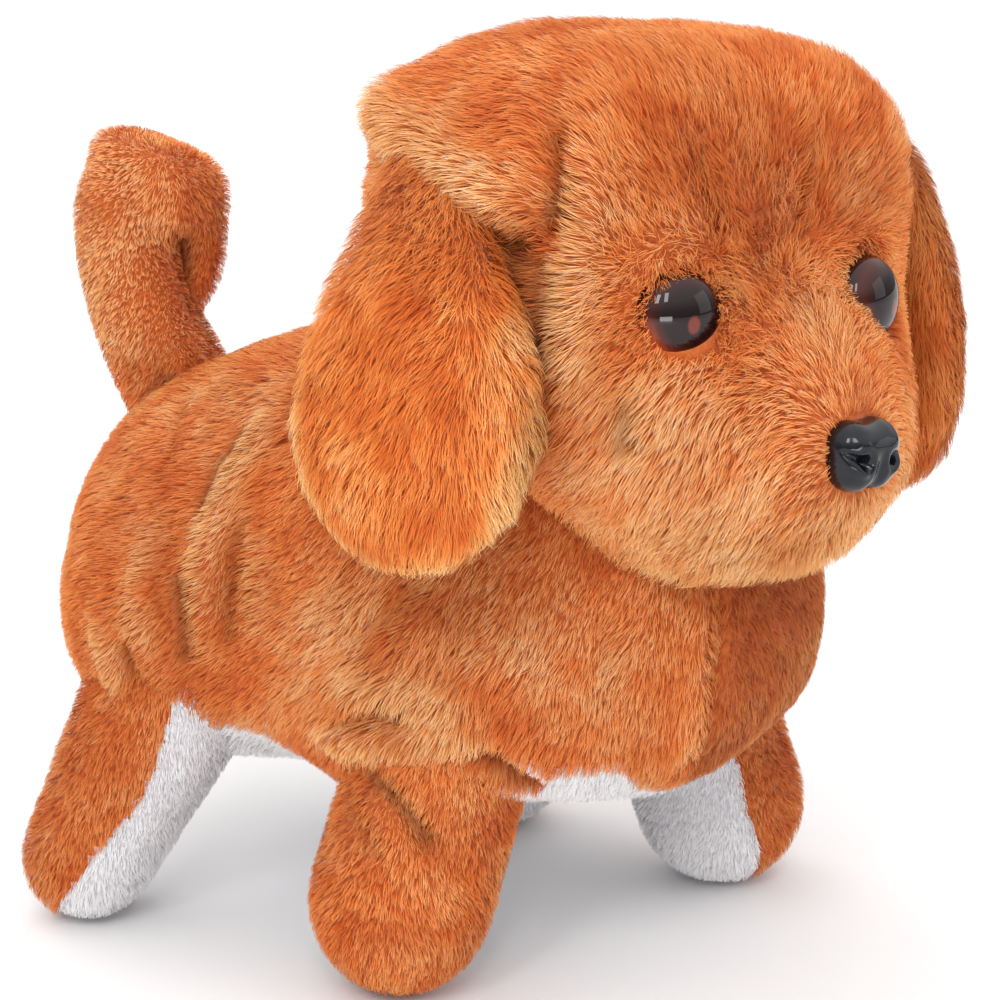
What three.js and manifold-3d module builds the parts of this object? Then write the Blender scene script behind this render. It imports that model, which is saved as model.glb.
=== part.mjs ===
// Walking and barking plush puppy: a sewn plush skin over a plastic gearbox that swings four legs,
// wags the tail and carries a head that turns on a neck post.
// Units are millimetres, +Z is up, the puppy faces -Y and its right side is -X.
// The origin is on the ground, under the middle of the object's box.
import * as THREE from "three";
import { mergeVertices } from "three/addons/utils/BufferGeometryUtils.js";
import Module from "manifold-3d";
const wasm = await Module();
wasm.setup();

// ---------------------------------------------------------------- driving dimensions
const GAP = 0.3; // clearance between pieces that touch
const PLUSH = 6; // thickness of the plush skin, backing and pressed pile
const FRONT_Y = -34, REAR_Y = 28, HIP_Z = 59; // leg pivot axles
const FRONT_REST = 18, REAR_REST = 27; // how far each leg stands off vertical at rest, degrees
const CHASSIS_W = 18, WALL = 1.6; // half width and wall of the gearbox housing
const CH_Y0 = -38, CH_Y1 = 36, CH_Z0 = 54.8, CH_Z1 = 98;
const BOX_W = 16.7, BOX_Y0 = -36, BOX_Y1 = 37, BOX_Z0 = 38.6, BOX_Z1 = 54.5; // battery box
const DOOR_T = 1.5, DOOR_Y1 = 28.2;
const CELL_R = 7.1, CELL_L = 50.5; // AA cell
const GEAR_M = 0.8, T_PINION = 8, T_WHEEL = 24, T_DRIVE = 28;
const GEAR_Z = 80, MOTOR_Y = -24;
const G1_Y = MOTOR_Y + (GEAR_M * (T_PINION + T_WHEEL)) / 2;
const G2_Y = G1_Y + (GEAR_M * (T_PINION + T_WHEEL)) / 2;
const DRIVE_Y = G2_Y + (GEAR_M * (T_PINION + T_DRIVE)) / 2;
const ARM_FRONT = 22, ARM_REAR = 15; // lever arms above the leg pivots
const CRANK_R = 6.8;
const FOOT_FRONT = [12, 9, 5], FOOT_REAR = [9, 6, 4]; // foot plate width, half length and thickness
const NECK_Y = -34, NECK_Z = 100; // the head turns about the vertical line through here
const HEAD_YAW = -20, HEAD_ROLL = 3; // degrees
const HEAD_C = [0, -21, 31]; // middle of the head from the neck point, in the head's own frame
const TAIL_Y = 43; // vertical pivot of the tail
const EAR_TILT = 22, EAR_TOP = [47, -1, 35];
const STAND_AT = [4.65, 14.25, 0]; // moves the puppy so that the middle of its own box is over the origin

// ---------------------------------------------------------------- colours
const brown = (r = 0.95) => new THREE.MeshStandardMaterial({ color: 0xc66e3a, roughness: r });
const MAT = {
  plush: brown(), white: new THREE.MeshStandardMaterial({ color: 0xd9d5d6, roughness: 0.95 }),
  fill: new THREE.MeshStandardMaterial({ color: 0xf2efe8, roughness: 1 }),
  eye: new THREE.MeshStandardMaterial({ color: 0x24100a, roughness: 0.06 }),
  nose: new THREE.MeshStandardMaterial({ color: 0x101216, roughness: 0.15 }),
  shell: new THREE.MeshStandardMaterial({ color: 0xe9e6dd, roughness: 0.5 }),
  leg: new THREE.MeshStandardMaterial({ color: 0xdcd8cc, roughness: 0.5 }),
  gear: new THREE.MeshStandardMaterial({ color: 0xf5f2e8, roughness: 0.4 }),
  door: new THREE.MeshStandardMaterial({ color: 0x2a2a2c, roughness: 0.5 }),
  steel: new THREE.MeshStandardMaterial({ color: 0xb8bcc0, roughness: 0.3, metalness: 1 }),
  spring: new THREE.MeshStandardMaterial({ color: 0xc9cccf, roughness: 0.25, metalness: 1 }),
  board: new THREE.MeshStandardMaterial({ color: 0x2f6b3a, roughness: 0.55 }),
  cell: new THREE.MeshStandardMaterial({ color: 0x3a4a63, roughness: 0.35, metalness: 0.3 }),
  cone: new THREE.MeshStandardMaterial({ color: 0x303030, roughness: 0.7 }),
  wire: new THREE.MeshStandardMaterial({ color: 0xb02a22, roughness: 0.5 }),
};

// ---------------------------------------------------------------- solids and booleans
const rad = THREE.MathUtils.degToRad;
function solid(geometry) {
  let g = geometry.index ? geometry.toNonIndexed() : geometry.clone();
  for (const k of Object.keys(g.attributes)) if (k !== "position") g.deleteAttribute(k);
  g = mergeVertices(g, 1e-4);
  return new wasm.Manifold(
    new wasm.Mesh({ numProp: 3, vertProperties: g.attributes.position.array, triVerts: new Uint32Array(g.index.array) }),
  );
}
function geometryOf(m) {
  const k = m.getMesh(), v = new Float32Array(k.numVert * 3);
  for (let i = 0; i < k.numVert; i++) v.set(k.vertProperties.subarray(i * k.numProp, i * k.numProp + 3), i * 3);
  const g = new THREE.BufferGeometry().setAttribute("position", new THREE.BufferAttribute(v, 3)).setIndex(new THREE.BufferAttribute(k.triVerts, 1));
  g.computeVertexNormals();
  return g;
}
const at = (g, x = 0, y = 0, z = 0, rx = 0, ry = 0, rz = 0) =>
  solid(g.clone().applyMatrix4(new THREE.Matrix4().makeRotationFromEuler(new THREE.Euler(rad(rx), rad(ry), rad(rz), "ZYX")).setPosition(x, y, z)));
const box = (x0, x1, y0, y1, z0, z1) =>
  at(new THREE.BoxGeometry(x1 - x0, y1 - y0, z1 - z0), (x0 + x1) / 2, (y0 + y1) / 2, (z0 + z1) / 2);
const cylX = (y, z, r, x0, x1, n = 16, r2 = r) => at(new THREE.CylinderGeometry(r2, r, x1 - x0, n), (x0 + x1) / 2, y, z, 0, 0, -90);
const cylY = (x, z, r, y0, y1, n = 16, r2 = r) => at(new THREE.CylinderGeometry(r2, r, y1 - y0, n), x, (y0 + y1) / 2, z);
const cylZ = (x, y, r, z0, z1, n = 16, r2 = r) => at(new THREE.CylinderGeometry(r2, r, z1 - z0, n), x, y, (z0 + z1) / 2, 90);
const join = (...s) => s.reduce((a, b) => a.add(b));
const cut = (a, ...s) => s.reduce((m, b) => m.subtract(b), a);
const turn = (m, matrix) => m.transform(matrix.elements);
const mirrorX = (m) => m.mirror([1, 0, 0]);
const swingX = (m, deg, y, z) =>
  turn(m, new THREE.Matrix4().makeTranslation(0, y, z).multiply(new THREE.Matrix4().makeRotationX(rad(deg))).multiply(new THREE.Matrix4().makeTranslation(0, -y, -z)));
// A flat outline in the YZ plane, given as [y, z] points, pushed from x0 to x1.
function prismX(points, x0, x1) {
  const s = new THREE.Shape(points.map(([y, z]) => new THREE.Vector2(y, z)));
  const g = new THREE.ExtrudeGeometry(s, { depth: x1 - x0, bevelEnabled: false });
  const m = new THREE.Matrix4().set(0, 0, 1, x0, 1, 0, 0, 0, 0, 1, 0, 0, 0, 0, 0, 1);
  return solid(g.applyMatrix4(m));
}
// A flat outline in the XZ plane, given as [x, z] points, pushed from y0 to y1.
function prismY(points, y0, y1) {
  const s = new THREE.Shape(points.map(([x, z]) => new THREE.Vector2(x, z)));
  const g = new THREE.ExtrudeGeometry(s, { depth: y1 - y0, bevelEnabled: false });
  const m = new THREE.Matrix4().set(1, 0, 0, 0, 0, 0, -1, y1, 0, 1, 0, 0, 0, 0, 0, 1);
  return solid(g.applyMatrix4(m));
}

// ---------------------------------------------------------------- soft shapes
// Each soft body is a smooth union of rounded boxes ("e": centre, radii, power) and tapered capsules ("c": end, end, radius, radius).
function fieldOf(list, k) {
  return (x, y, z) => {
    let d = null;
    for (const p of list) {
      let e;
      if (p[0] === "e") {
        const [, c, r, n = 2] = p;
        const s = (Math.abs(x - c[0]) / r[0]) ** n + (Math.abs(y - c[1]) / r[1]) ** n + (Math.abs(z - c[2]) / r[2]) ** n;
        e = (s ** (1 / n) - 1) * Math.min(...r);
      } else {
        const [, a, b, ra, rb] = p;
        const u = [b[0] - a[0], b[1] - a[1], b[2] - a[2]], v = [x - a[0], y - a[1], z - a[2]];
        const t = Math.min(1, Math.max(0, (u[0] * v[0] + u[1] * v[1] + u[2] * v[2]) / (u[0] ** 2 + u[1] ** 2 + u[2] ** 2)));
        e = Math.hypot(v[0] - u[0] * t, v[1] - u[1] * t, v[2] - u[2] * t) - (ra + (rb - ra) * t);
      }
      if (d === null) d = e;
      else {
        const h = Math.max(k - Math.abs(d - e), 0) / k;
        d = Math.min(d, e) - h * h * k * 0.25;
      }
    }
    return d;
  };
}
// The surface where the field equals "grow", as a sphere whose points are moved along their own rays from the centre.
function blob(list, centre, { k = 10, detail = 5, grow = 0, reach = 150 } = {}) {
  const f = fieldOf(list, k), g = mergeVertices(stripped(new THREE.IcosahedronGeometry(1, detail)), 1e-4), p = g.attributes.position;
  for (let i = 0; i < p.count; i++) {
    const d = new THREE.Vector3().fromBufferAttribute(p, i).normalize();
    const at = (r) => f(centre[0] + d.x * r, centre[1] + d.y * r, centre[2] + d.z * r) - grow;
    let hi = reach, lo = null;
    for (let r = reach; r > 0.5; r -= 1) {
      if (at(r) < 0) { lo = r; break; }
      hi = r;
    }
    if (lo === null) lo = 0.5;
    for (let n = 0; n < 16; n++) { const m = (lo + hi) / 2; if (at(m) < 0) lo = m; else hi = m; }
    p.setXYZ(i, centre[0] + d.x * lo, centre[1] + d.y * lo, centre[2] + d.z * lo);
  }
  return solid(g);
}
function stripped(g) {
  g.deleteAttribute("normal");
  g.deleteAttribute("uv");
  return g;
}
// A skin through elliptical rings: each ring is { c, a, b } with two half axes, closed by a point at each end.
function loft(first, rings, last, n = 14) {
  const v = [], f = [], m = rings.length;
  for (const { c, a, b } of rings)
    for (let j = 0; j < n; j++) {
      const t = (2 * Math.PI * j) / n;
      v.push(c.clone().addScaledVector(a, Math.cos(t)).addScaledVector(b, Math.sin(t)));
    }
  v.push(first, last);
  for (let i = 0; i < m - 1; i++)
    for (let j = 0; j < n; j++) {
      const a = i * n + j, b = i * n + ((j + 1) % n);
      f.push([a, b, b + n], [a, b + n, a + n]);
    }
  for (let j = 0; j < n; j++) f.push([m * n, (j + 1) % n, j], [m * n + 1, (m - 1) * n + j, (m - 1) * n + ((j + 1) % n)]);
  const build = (flip) => {
    const g = new THREE.BufferGeometry();
    g.setAttribute("position", new THREE.Float32BufferAttribute(v.flatMap((p) => [p.x, p.y, p.z]), 3));
    g.setIndex(f.flatMap(([a, b, c]) => (flip ? [a, c, b] : [a, b, c])));
    return solid(g);
  };
  const s = build(false);
  return s.volume() > 0 ? s : build(true);
}

const TORSO = [
  ["e", [0, -38, 77], [42, 45, 40], 2.3], ["e", [0, -4, 80], [41, 58, 40], 2.2], ["e", [0, 36, 69], [42, 40, 36], 2.2],
  ["e", [0, 26, 60], [40, 36, 20]], ["e", [0, -30, 104], [30, 34, 28]],
  ["e", [-34, -28, 60], [17, 20, 20]], ["e", [34, -34, 60], [17, 20, 20]], ["e", [-32, 36, 60], [18, 21, 21]], ["e", [32, 30, 60], [18, 21, 21]],
];
const LEG = {
  front_right: [["c", [-35, -27, 50], [-40, -20, 17.5], 18, 18.5]],
  rear_right: [["c", [-34, 36, 50], [-44, 52, 13], 18, 14]],
  front_left: [["c", [34, -40, 50], [37, -50, 17.5], 18, 18.5]],
  rear_left: [["c", [34, 20, 50], [40, 4, 13], 18, 14]],
};
const HEAD = [["e", [0, 5, 10], [49, 39, 39], 3.4], ["e", [0, -18, -19], [36, 35, 26], 2.3]];
const EYE = [23, -30.5, 5], NOSE = [0, -53, -18];
const EAR_RINGS = [
  [2, 12, 5, 0, -1], [8, 17, 8, 0, 0], [18, 19, 9, 0.5, 4], [30, 22, 9.5, 1, 8], [44, 24.5, 9.5, 1, 11], [56, 24, 9.5, 1, 13], [66, 20, 8.5, 1, 14], [73, 12, 6.5, 1, 14], [76, 5, 3, 1, 14],
]; // how far down, half width, half thickness, set back, set out
const TAIL_LINE = [[0, 54, 92], [-0.5, 62, 106], [-1, 68, 120], [-1.5, 71.87, 134], [0, 71, 143.5], [5, 68, 146], [10, 65, 142], [13, 63.5, 134], [14, 64, 124], [13, 66, 114]];
const TAIL_R = [[13, 12], [12.5, 12], [11.5, 11.5], [10, 10.2], [9, 9], [8.6, 8.6], [8.8, 8.8], [8.5, 8.5], [7.5, 7.5], [5, 5]];

// ---------------------------------------------------------------- scene
const root = new THREE.Group();
const puppy = new THREE.Group(); // everything below is laid out from the middle of the body, then moved as one
puppy.position.set(...STAND_AT);
root.add(puppy);
const group = (parent = puppy) => { const g = new THREE.Group(); parent.add(g); return g; };
const nodes = {};
function add(name, s, material, parent = puppy) {
  const mesh = new THREE.Mesh(s.isBufferGeometry ? s : geometryOf(s), material);
  mesh.name = name;
  parent.add(mesh);
  nodes[name] = mesh;
  return mesh;
}

// ---- leg frames: hub on the axle, lever arm with its pin, shank and foot plate, modelled upright on the left side
function legFrame(arm, foot, grow = 0) {
  const g = grow;
  let s = join(
    cylX(0, 0, 5 + g, 20.3 - g, 26.6 + g, 16),
    box(24 - g, 26.6 + g, -2.6 - g, 2.6 + g, 0, arm),
    cylX(0, arm, 2.6 + g, 24 - g, 26.6 + g, 12),
    cylX(0, arm, 1.3, 21.35, 25, 10),
    prismY([[21.5 - g, 0], [26.6 + g, 0], [26.6 + g, -4], [29 + g, -12], [41 + g, -46], [41 + g, -49 - g], [34 - g, -49 - g], [34 - g, -46], [21.5 - g, -14]], -4.5 - g, 4.5 + g),
    box(43 - foot[0] - g, 43 + g, -foot[1] - g, foot[1] + g, -46 - foot[2] - g, -46 + g),
  );
  return s;
}
const boreLeg = cylX(0, 0, 1.8, 19, 28, 14);
const place = (s, side, y, deg) => {
  const m = new THREE.Matrix4().makeTranslation(0, y, HIP_Z).multiply(new THREE.Matrix4().makeRotationX(rad(deg)));
  return turn(side > 0 ? s : mirrorX(s), m);
};
const legs = group();
for (const [name, side, y, deg, arm, foot] of [
  ["front_right", -1, FRONT_Y, FRONT_REST, ARM_FRONT, FOOT_FRONT], ["rear_right", -1, REAR_Y, REAR_REST, ARM_REAR, FOOT_REAR],
  ["front_left", 1, FRONT_Y, -FRONT_REST, ARM_FRONT, FOOT_FRONT], ["rear_left", 1, REAR_Y, -REAR_REST, ARM_REAR, FOOT_REAR],
]) {
  add(name + "_leg_frame", place(cut(legFrame(arm, foot), boreLeg), side, y, deg), MAT.leg, legs);
  const p = LEG[name][0], mid = [(p[1][0] + p[2][0]) / 2, (p[1][1] + p[2][1]) / 2, (p[1][2] + p[2][2]) / 2];
  let s = blob(LEG[name], mid, { detail: 3 });
  const far = side > 0 ? [18.6, 70] : [-70, -18.6];
  s = s.intersect(box(far[0], far[1], y - 60, y + 60, -5, HIP_Z + 20));
  s = cut(s, cylX(y, HIP_Z, 12, -70, 70, 20), place(box(0, 70, -40, 40, -9, 60), side, y, deg));
  s = cut(s, place(join(legFrame(arm, foot, GAP), cylX(0, 0, 12, 17, 27.2)), side, y, deg));
  s = s.intersect(box(-80, 80, -90, 110, 0, 100));
  add(name + "_leg_plush", s.decompose().sort((a, b) => b.volume() - a.volume())[0], MAT.plush, legs);
}
const side_bar = (side) => {
  // rest position: the right lever pins lean forward, the left ones lean back
  const lean = side > 0 ? 1 : -1;
  const pf = [FRONT_Y + lean * -ARM_FRONT * Math.sin(rad(-FRONT_REST)) * 1, HIP_Z + ARM_FRONT * Math.cos(rad(FRONT_REST))];
  const pr = [REAR_Y + lean * -ARM_REAR * Math.sin(rad(-REAR_REST)) * 1, HIP_Z + ARM_REAR * Math.cos(rad(REAR_REST))];
  return { pf, pr };
};
for (const side of [-1, 1]) {
  const { pf, pr } = side_bar(side);
  const x0 = side > 0 ? 21.6 : -23.4, x1 = side > 0 ? 23.4 : -21.6;
  const dy = DRIVE_Y + (side > 0 ? 1 : -1) * CRANK_R;
  let s = join(
    prismX([[pf[0] - 4, pf[1] - 3.6], [pf[0] + 4, pf[1] - 3.6], [pr[0] - 3, pr[1] - 2.6], [pr[0] + 4.2, pr[1] - 3.6], [pr[0] + 4.2, pr[1] + 5], [dy + 5, GEAR_Z + 9.5], [dy - 5, GEAR_Z + 9.5], [dy - 7, pf[1] + 5], [pf[0] - 4, pf[1] + 5]], x0, x1),
  );
  // upright slots: the lever pins rise and fall a little, and the crank pin moves up and down
  const slot = (y, z0, z1, r) => join(box(x0 - 1, x1 + 1, y - r, y + r, z0, z1), cylX(y, z0, r, x0 - 1, x1 + 1, 12), cylX(y, z1, r, x0 - 1, x1 + 1, 12));
  s = cut(s, slot(pf[0], pf[1] - 0.2, pf[1] + 1.4, 1.75), slot(pr[0], pr[1] - 0.2, pr[1] + 1.9, 1.75), slot(dy, GEAR_Z - 6.2, GEAR_Z + 6.2, 1.9));
  add((side > 0 ? "left" : "right") + "_coupler_bar", s, MAT.leg, legs);
}

// ---- gearbox housing: two halves screwed together, with bosses for the axles
const XA = [13.0, 15.6], XB = [9.6, 12.5], XC = [5.6, 9.2]; // gear layers across the housing
const SCREWS = [[-34.4, 93.6], [-4.8, 93.6], [-34.4, 67.6], [32.4, 66]];
const CROSS = [[G1_Y, GEAR_Z], [G2_Y, GEAR_Z]];
function half() {
  // left half, x from GAP/2 up
  let s = cut(box(GAP / 2, CHASSIS_W, CH_Y0, CH_Y1, CH_Z0, CH_Z1), box(-1, CHASSIS_W - WALL, CH_Y0 + WALL, CH_Y1 - WALL, CH_Z0 + WALL, CH_Z1 - WALL));
  for (const [y, z] of SCREWS) s = s.add(cylX(y, z, 3, GAP / 2, CHASSIS_W - 1, 8));
  for (const y of [FRONT_Y, REAR_Y]) s = s.add(cylX(y, HIP_Z, 3.6, CHASSIS_W - 1, 20, 16));
  for (const [y, z] of CROSS) s = s.add(cylX(y, z, 2.2, CHASSIS_W - 2, CHASSIS_W - WALL + 0.01, 10));
  for (const y of [FRONT_Y, REAR_Y]) s = cut(s, cylX(y, HIP_Z, 1.8, -1, 22, 14));
  s = cut(s, cylX(DRIVE_Y, GEAR_Z, 1.85, 10, 22, 14));
  // slot for the tail arm in the back wall, and a hole for the wires on top
  s = cut(s, box(-1, 9, CH_Y1 - 3, CH_Y1 + 1, 90, 94.6), box(-1, 3, 16, 22, CH_Z1 - 3, CH_Z1 + 1));
  return s;
}
const SCREW_HOLE = (a, b, r = 1.4) => SCREWS.map(([y, z]) => cylX(y, z, r, a, b, 8));
// the left half carries the two moulded pins that the reduction gears turn on
add("chassis_left", cut(half(), ...SCREW_HOLE(-1, 9)).add(join(...CROSS.map(([y, z]) => cylX(y, z, 0.95, XC[0] - 0.6, CHASSIS_W - 1, 10)))), MAT.shell);
add("chassis_right", cut(mirrorX(half()), ...SCREW_HOLE(-20, 1), ...SCREWS.map(([y, z]) => cylX(y, z, 2.6, -20, -15.6, 8))), MAT.shell);
SCREWS.forEach(([y, z], i) =>
  add("chassis_screw_" + (i + 1), cut(join(cylX(y, z, 2.2, -17.6, -15.9, 10), cylX(y, z, 1.05, -16, 8, 6)), box(-18, -17, y - 1.6, y + 1.6, z - 0.25, z + 0.25), box(-18, -17, y - 0.25, y + 0.25, z - 1.6, z + 1.6)), MAT.steel),
);
for (const [name, y] of [["front_leg_axle", FRONT_Y], ["rear_leg_axle", REAR_Y]])
  add(name, join(cylX(y, HIP_Z, 1.5, -27.8, 27.8, 12), cylX(y, HIP_Z, 2.6, 27, 27.9, 12), cylX(y, HIP_Z, 2.6, -27.9, -27, 12)), MAT.steel);

// ---- motor and gears
function gearOutline(teeth, phase) {
  const m = GEAR_M, rp = (m * teeth) / 2, ro = rp + 0.78 * m, rr = rp - 1.15 * m, p = (2 * Math.PI) / teeth, out = [];
  for (let i = 0; i < teeth; i++) {
    const a = phase + i * p;
    for (const [da, r] of [[-0.3, rr], [-0.11, ro], [0.11, ro], [0.3, rr]]) out.push([Math.cos(a + da * p) * r, Math.sin(a + da * p) * r]);
  }
  return out;
}
const gear = (teeth, phase, y, z, x0, x1) => prismX(gearOutline(teeth, phase).map(([a, b]) => [y + a, z + b]), x0, x1);
add("motor", cut(join(at(new THREE.CylinderGeometry(10, 10, 25, 20), -3.5, MOTOR_Y, GEAR_Z, 0, 0, -90).intersect(box(-20, 20, -60, 20, GEAR_Z - 7.5, GEAR_Z + 7.5)), cylX(MOTOR_Y, GEAR_Z, 3, 8.9, 10, 12), box(-16.3, -14, MOTOR_Y - 4, MOTOR_Y + 4, GEAR_Z + 5, GEAR_Z + 6)), cylX(MOTOR_Y, GEAR_Z, 1.3, -10, 11, 12)), MAT.steel);
add("motor_pinion", join(gear(T_PINION, 0, MOTOR_Y, GEAR_Z, XA[0] + 0.1, XA[1]), cylX(MOTOR_Y, GEAR_Z, 0.95, -8, 14, 12)), MAT.gear);
const half24 = Math.PI / T_WHEEL, half28 = Math.PI / T_DRIVE;
add("first_reduction_gear", cut(join(gear(T_WHEEL, Math.PI + half24, G1_Y, GEAR_Z, XA[0], XA[1]), gear(T_PINION, 0, G1_Y, GEAR_Z, XB[0], XA[0] + 0.1)), cylX(G1_Y, GEAR_Z, 1.25, 0, 20, 12)), MAT.gear);
add("second_reduction_gear", cut(join(gear(T_WHEEL, Math.PI + half24, G2_Y, GEAR_Z, XB[0], XB[1]), gear(T_PINION, 0, G2_Y, GEAR_Z, XC[0], XB[0] + 0.1)), cylX(G2_Y, GEAR_Z, 1.25, 0, 20, 12)), MAT.gear);
add("drive_gear", cut(join(gear(T_DRIVE, Math.PI + half28, DRIVE_Y, GEAR_Z, XC[0], XC[1] - 0.4), cylX(DRIVE_Y, GEAR_Z, 4, 2, XC[0] + 0.1, 14)), cylX(DRIVE_Y, GEAR_Z, 1.8, 0, 20, 12)), MAT.gear);
add("drive_axle", cylX(DRIVE_Y, GEAR_Z, 1.5, -20.9, 20.9, 12), MAT.steel);
for (const side of [-1, 1]) {
  // the right crank pin stands behind the axle and the left one in front of it, half a turn apart
  const x = (a, b) => (side > 0 ? [a, b] : [-b, -a]);
  const [d0, d1] = x(18.5, 20.7), [p0, p1] = x(20.6, 21.1);
  const py = DRIVE_Y + side * CRANK_R;
  add((side > 0 ? "left" : "right") + "_crank_disc", cut(join(cylX(DRIVE_Y, GEAR_Z, 9, d0, d1, 24), cylX(py, GEAR_Z, 1.5, p0, p1, 12)), cylX(DRIVE_Y, GEAR_Z, 1.75, d0 - 1, d1 + 1, 12)), MAT.leg);
}
add("tail_cam", cut(cylX(DRIVE_Y + 2, GEAR_Z, 5, -8, -4.5, 18), cylX(DRIVE_Y, GEAR_Z, 1.8, -9, -4, 12)), MAT.gear);

// ---- battery box, cells, contacts, door and switch
let bay = box(-BOX_W, BOX_W, BOX_Y0, BOX_Y1, BOX_Z0, BOX_Z1);
bay = cut(bay, box(-15.1, 15.1, -34.6, 22.4, BOX_Z0 - 1, BOX_Z1 - 0.9), box(-6.3, 6.3, 28.8, 35.8, BOX_Z0 - 1, BOX_Z1 - 5), cylZ(0, 25.5, 1.3, BOX_Z0 - 1, BOX_Z0 + 9, 10), box(-1.5, 1.5, 30, 33, BOX_Z1 - 6, BOX_Z1 + 1), box(-11, -8, -30, -27, BOX_Z1 - 3, BOX_Z1 + 1));
add("battery_box", bay, MAT.shell);
const CZ = BOX_Z0 + 0.5 + CELL_R;
const CELL_Y0 = -29.4;
for (const [name, x, flip] of [["battery_cell_right", -7.5, 1], ["battery_cell_left", 7.5, -1]]) {
  const y0 = flip > 0 ? CELL_Y0 : CELL_Y0 - 3, y1 = y0 + CELL_L - 1;
  add(name, join(cylY(x, CZ, CELL_R, y0, y1, 18), flip > 0 ? cylY(x, CZ, 2.7, y1 - 0.1, y1 + 1, 12) : cylY(x, CZ, 2.7, y0 - 1, y0 + 0.1, 12)), MAT.cell);
}
// coil contacts: a coil spring as one swept wire
function coil(x, y0, y1, r, wire, turns) { // four-sided wire keeps it light
  class Helix extends THREE.Curve {
    getPoint(t, o = new THREE.Vector3()) {
      const a = 2 * Math.PI * turns * t;
      return o.set(x + Math.cos(a) * r, y0 + (y1 - y0) * t, CZ + Math.sin(a) * r);
    }
  }
  const s = new THREE.Shape(Array.from({ length: 4 }, (_, i) => new THREE.Vector2(Math.cos((i * Math.PI) / 2) * wire, Math.sin((i * Math.PI) / 2) * wire)));
  return solid(new THREE.ExtrudeGeometry(s, { steps: turns * 8, extrudePath: new Helix(), bevelEnabled: false }));
}
add("contact_plate_front", join(box(-14, 14, -34.3, -33.8, CZ - 5, CZ + 5), box(-9, -6, -34.3, -33.9, CZ + 5, CZ + 5.6)), MAT.spring);
add("contact_plate_rear", join(box(-14, 14, 21.6, 22.1, CZ - 5, CZ + 5), box(6, 9, 21.7, 22.1, CZ + 5, CZ + 5.6)), MAT.spring);
add("contact_spring_front", coil(-7.5, -33.1, CELL_Y0 - 0.8, 3.2, 0.35, 3), MAT.spring);
add("contact_spring_rear", coil(7.5, CELL_Y0 - 3 + CELL_L - 1 + 0.75, 20.9, 3.2, 0.35, 3), MAT.spring);
let door = join(box(-BOX_W, BOX_W, BOX_Y0, DOOR_Y1, BOX_Z0 - GAP - DOOR_T, BOX_Z0 - GAP), box(-9, 9, -34.1, -32.9, BOX_Z0 - GAP - 0.1, BOX_Z0 + 1.4));
for (let i = 0; i < 4; i++) door = cut(door, box(-8, 8, -30 + i * 3, -28.6 + i * 3, BOX_Z0 - GAP - DOOR_T - 1, BOX_Z0 - GAP - DOOR_T + 0.5));
door = cut(door, cylZ(0, 25.5, 1.4, 30, 50, 10), cylZ(0, 25.5, 2.6, 30, BOX_Z0 - GAP - 0.6, 12));
add("battery_door", door, MAT.door);
add("battery_door_screw", cut(join(cylZ(0, 25.5, 2.2, BOX_Z0 - GAP - DOOR_T + 0.05, BOX_Z0 - GAP - 0.8, 12), cylZ(0, 25.5, 1.0, BOX_Z0 - GAP - 0.9, BOX_Z0 + 7, 8)), box(-1.6, 1.6, 25.25, 25.75, 30, BOX_Z0 - GAP - DOOR_T + 0.4)), MAT.steel);
add("power_switch_body", cut(box(-6, 6, 29.1, 35.5, BOX_Z0 + 0.8, BOX_Z0 + 5.8), box(-3.6, 3.6, 31, 33.6, BOX_Z0, BOX_Z0 + 3.4)), MAT.cone);
add("power_switch_knob", join(box(-3.1, 0.1, 31.3, 33.3, BOX_Z0 - 1.6, BOX_Z0 + 3), box(-3.1, 0.1, 31.3, 33.3, BOX_Z0 + 2, BOX_Z0 + 3.1)), MAT.door);

// ---- sound board and speaker
add("sound_board", join(box(-13, 13, 0, 32, 99.2, 100.4), box(-4, 4, 8, 16, 100.3, 101.8), box(-10, -5, 20, 24, 100.3, 102.6), cylZ(7, 24, 2.5, 100.3, 106, 12)), MAT.board);
const SP_Y = -52;
add("speaker", join(cylY(0, 72, 13.5, SP_Y, SP_Y + 3, 24), cylY(0, 72, 8, SP_Y + 2.9, SP_Y + 6, 20, 8)), MAT.cone);
add("speaker_bracket", cut(join(cylY(0, 72, 16, SP_Y - 0.6, SP_Y + 4.6, 24), box(-12, 12, SP_Y + 2, CH_Y0 - GAP, 60, 64), box(-12, 12, CH_Y0 - GAP - 1.4, CH_Y0 - GAP, 58, 76)), cylY(0, 72, 13.9, SP_Y - 0.3, SP_Y + 9, 24), cylY(0, 72, 12, SP_Y - 3, SP_Y + 1, 24)), MAT.shell);
function wire(points, r, steps = 10) {
  const c = new THREE.CatmullRomCurve3(points.map((p) => new THREE.Vector3(...p)));
  const s = new THREE.Shape(Array.from({ length: 6 }, (_, i) => new THREE.Vector2(Math.cos((i * Math.PI) / 3) * r, Math.sin((i * Math.PI) / 3) * r)));
  return solid(new THREE.ExtrudeGeometry(s, { steps, extrudePath: c, bevelEnabled: false }));
}
add("speaker_lead", wire([[11, -45.4, 78], [12, -42.5, 88], [12.5, -40.2, 95.5], [12.6, -39.3, 98.9], [12.5, -36, 99.9], [12, -18, 99.4], [11.5, -0.7, 99.8]], 0.6, 16), MAT.wire);
add("motor_lead", wire([[-10, -12, 76], [-12.5, 2, 78], [-10, 14, 88], [-1, 18.5, 94], [0.2, 19, 98.9]], 0.6), MAT.wire);

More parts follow.
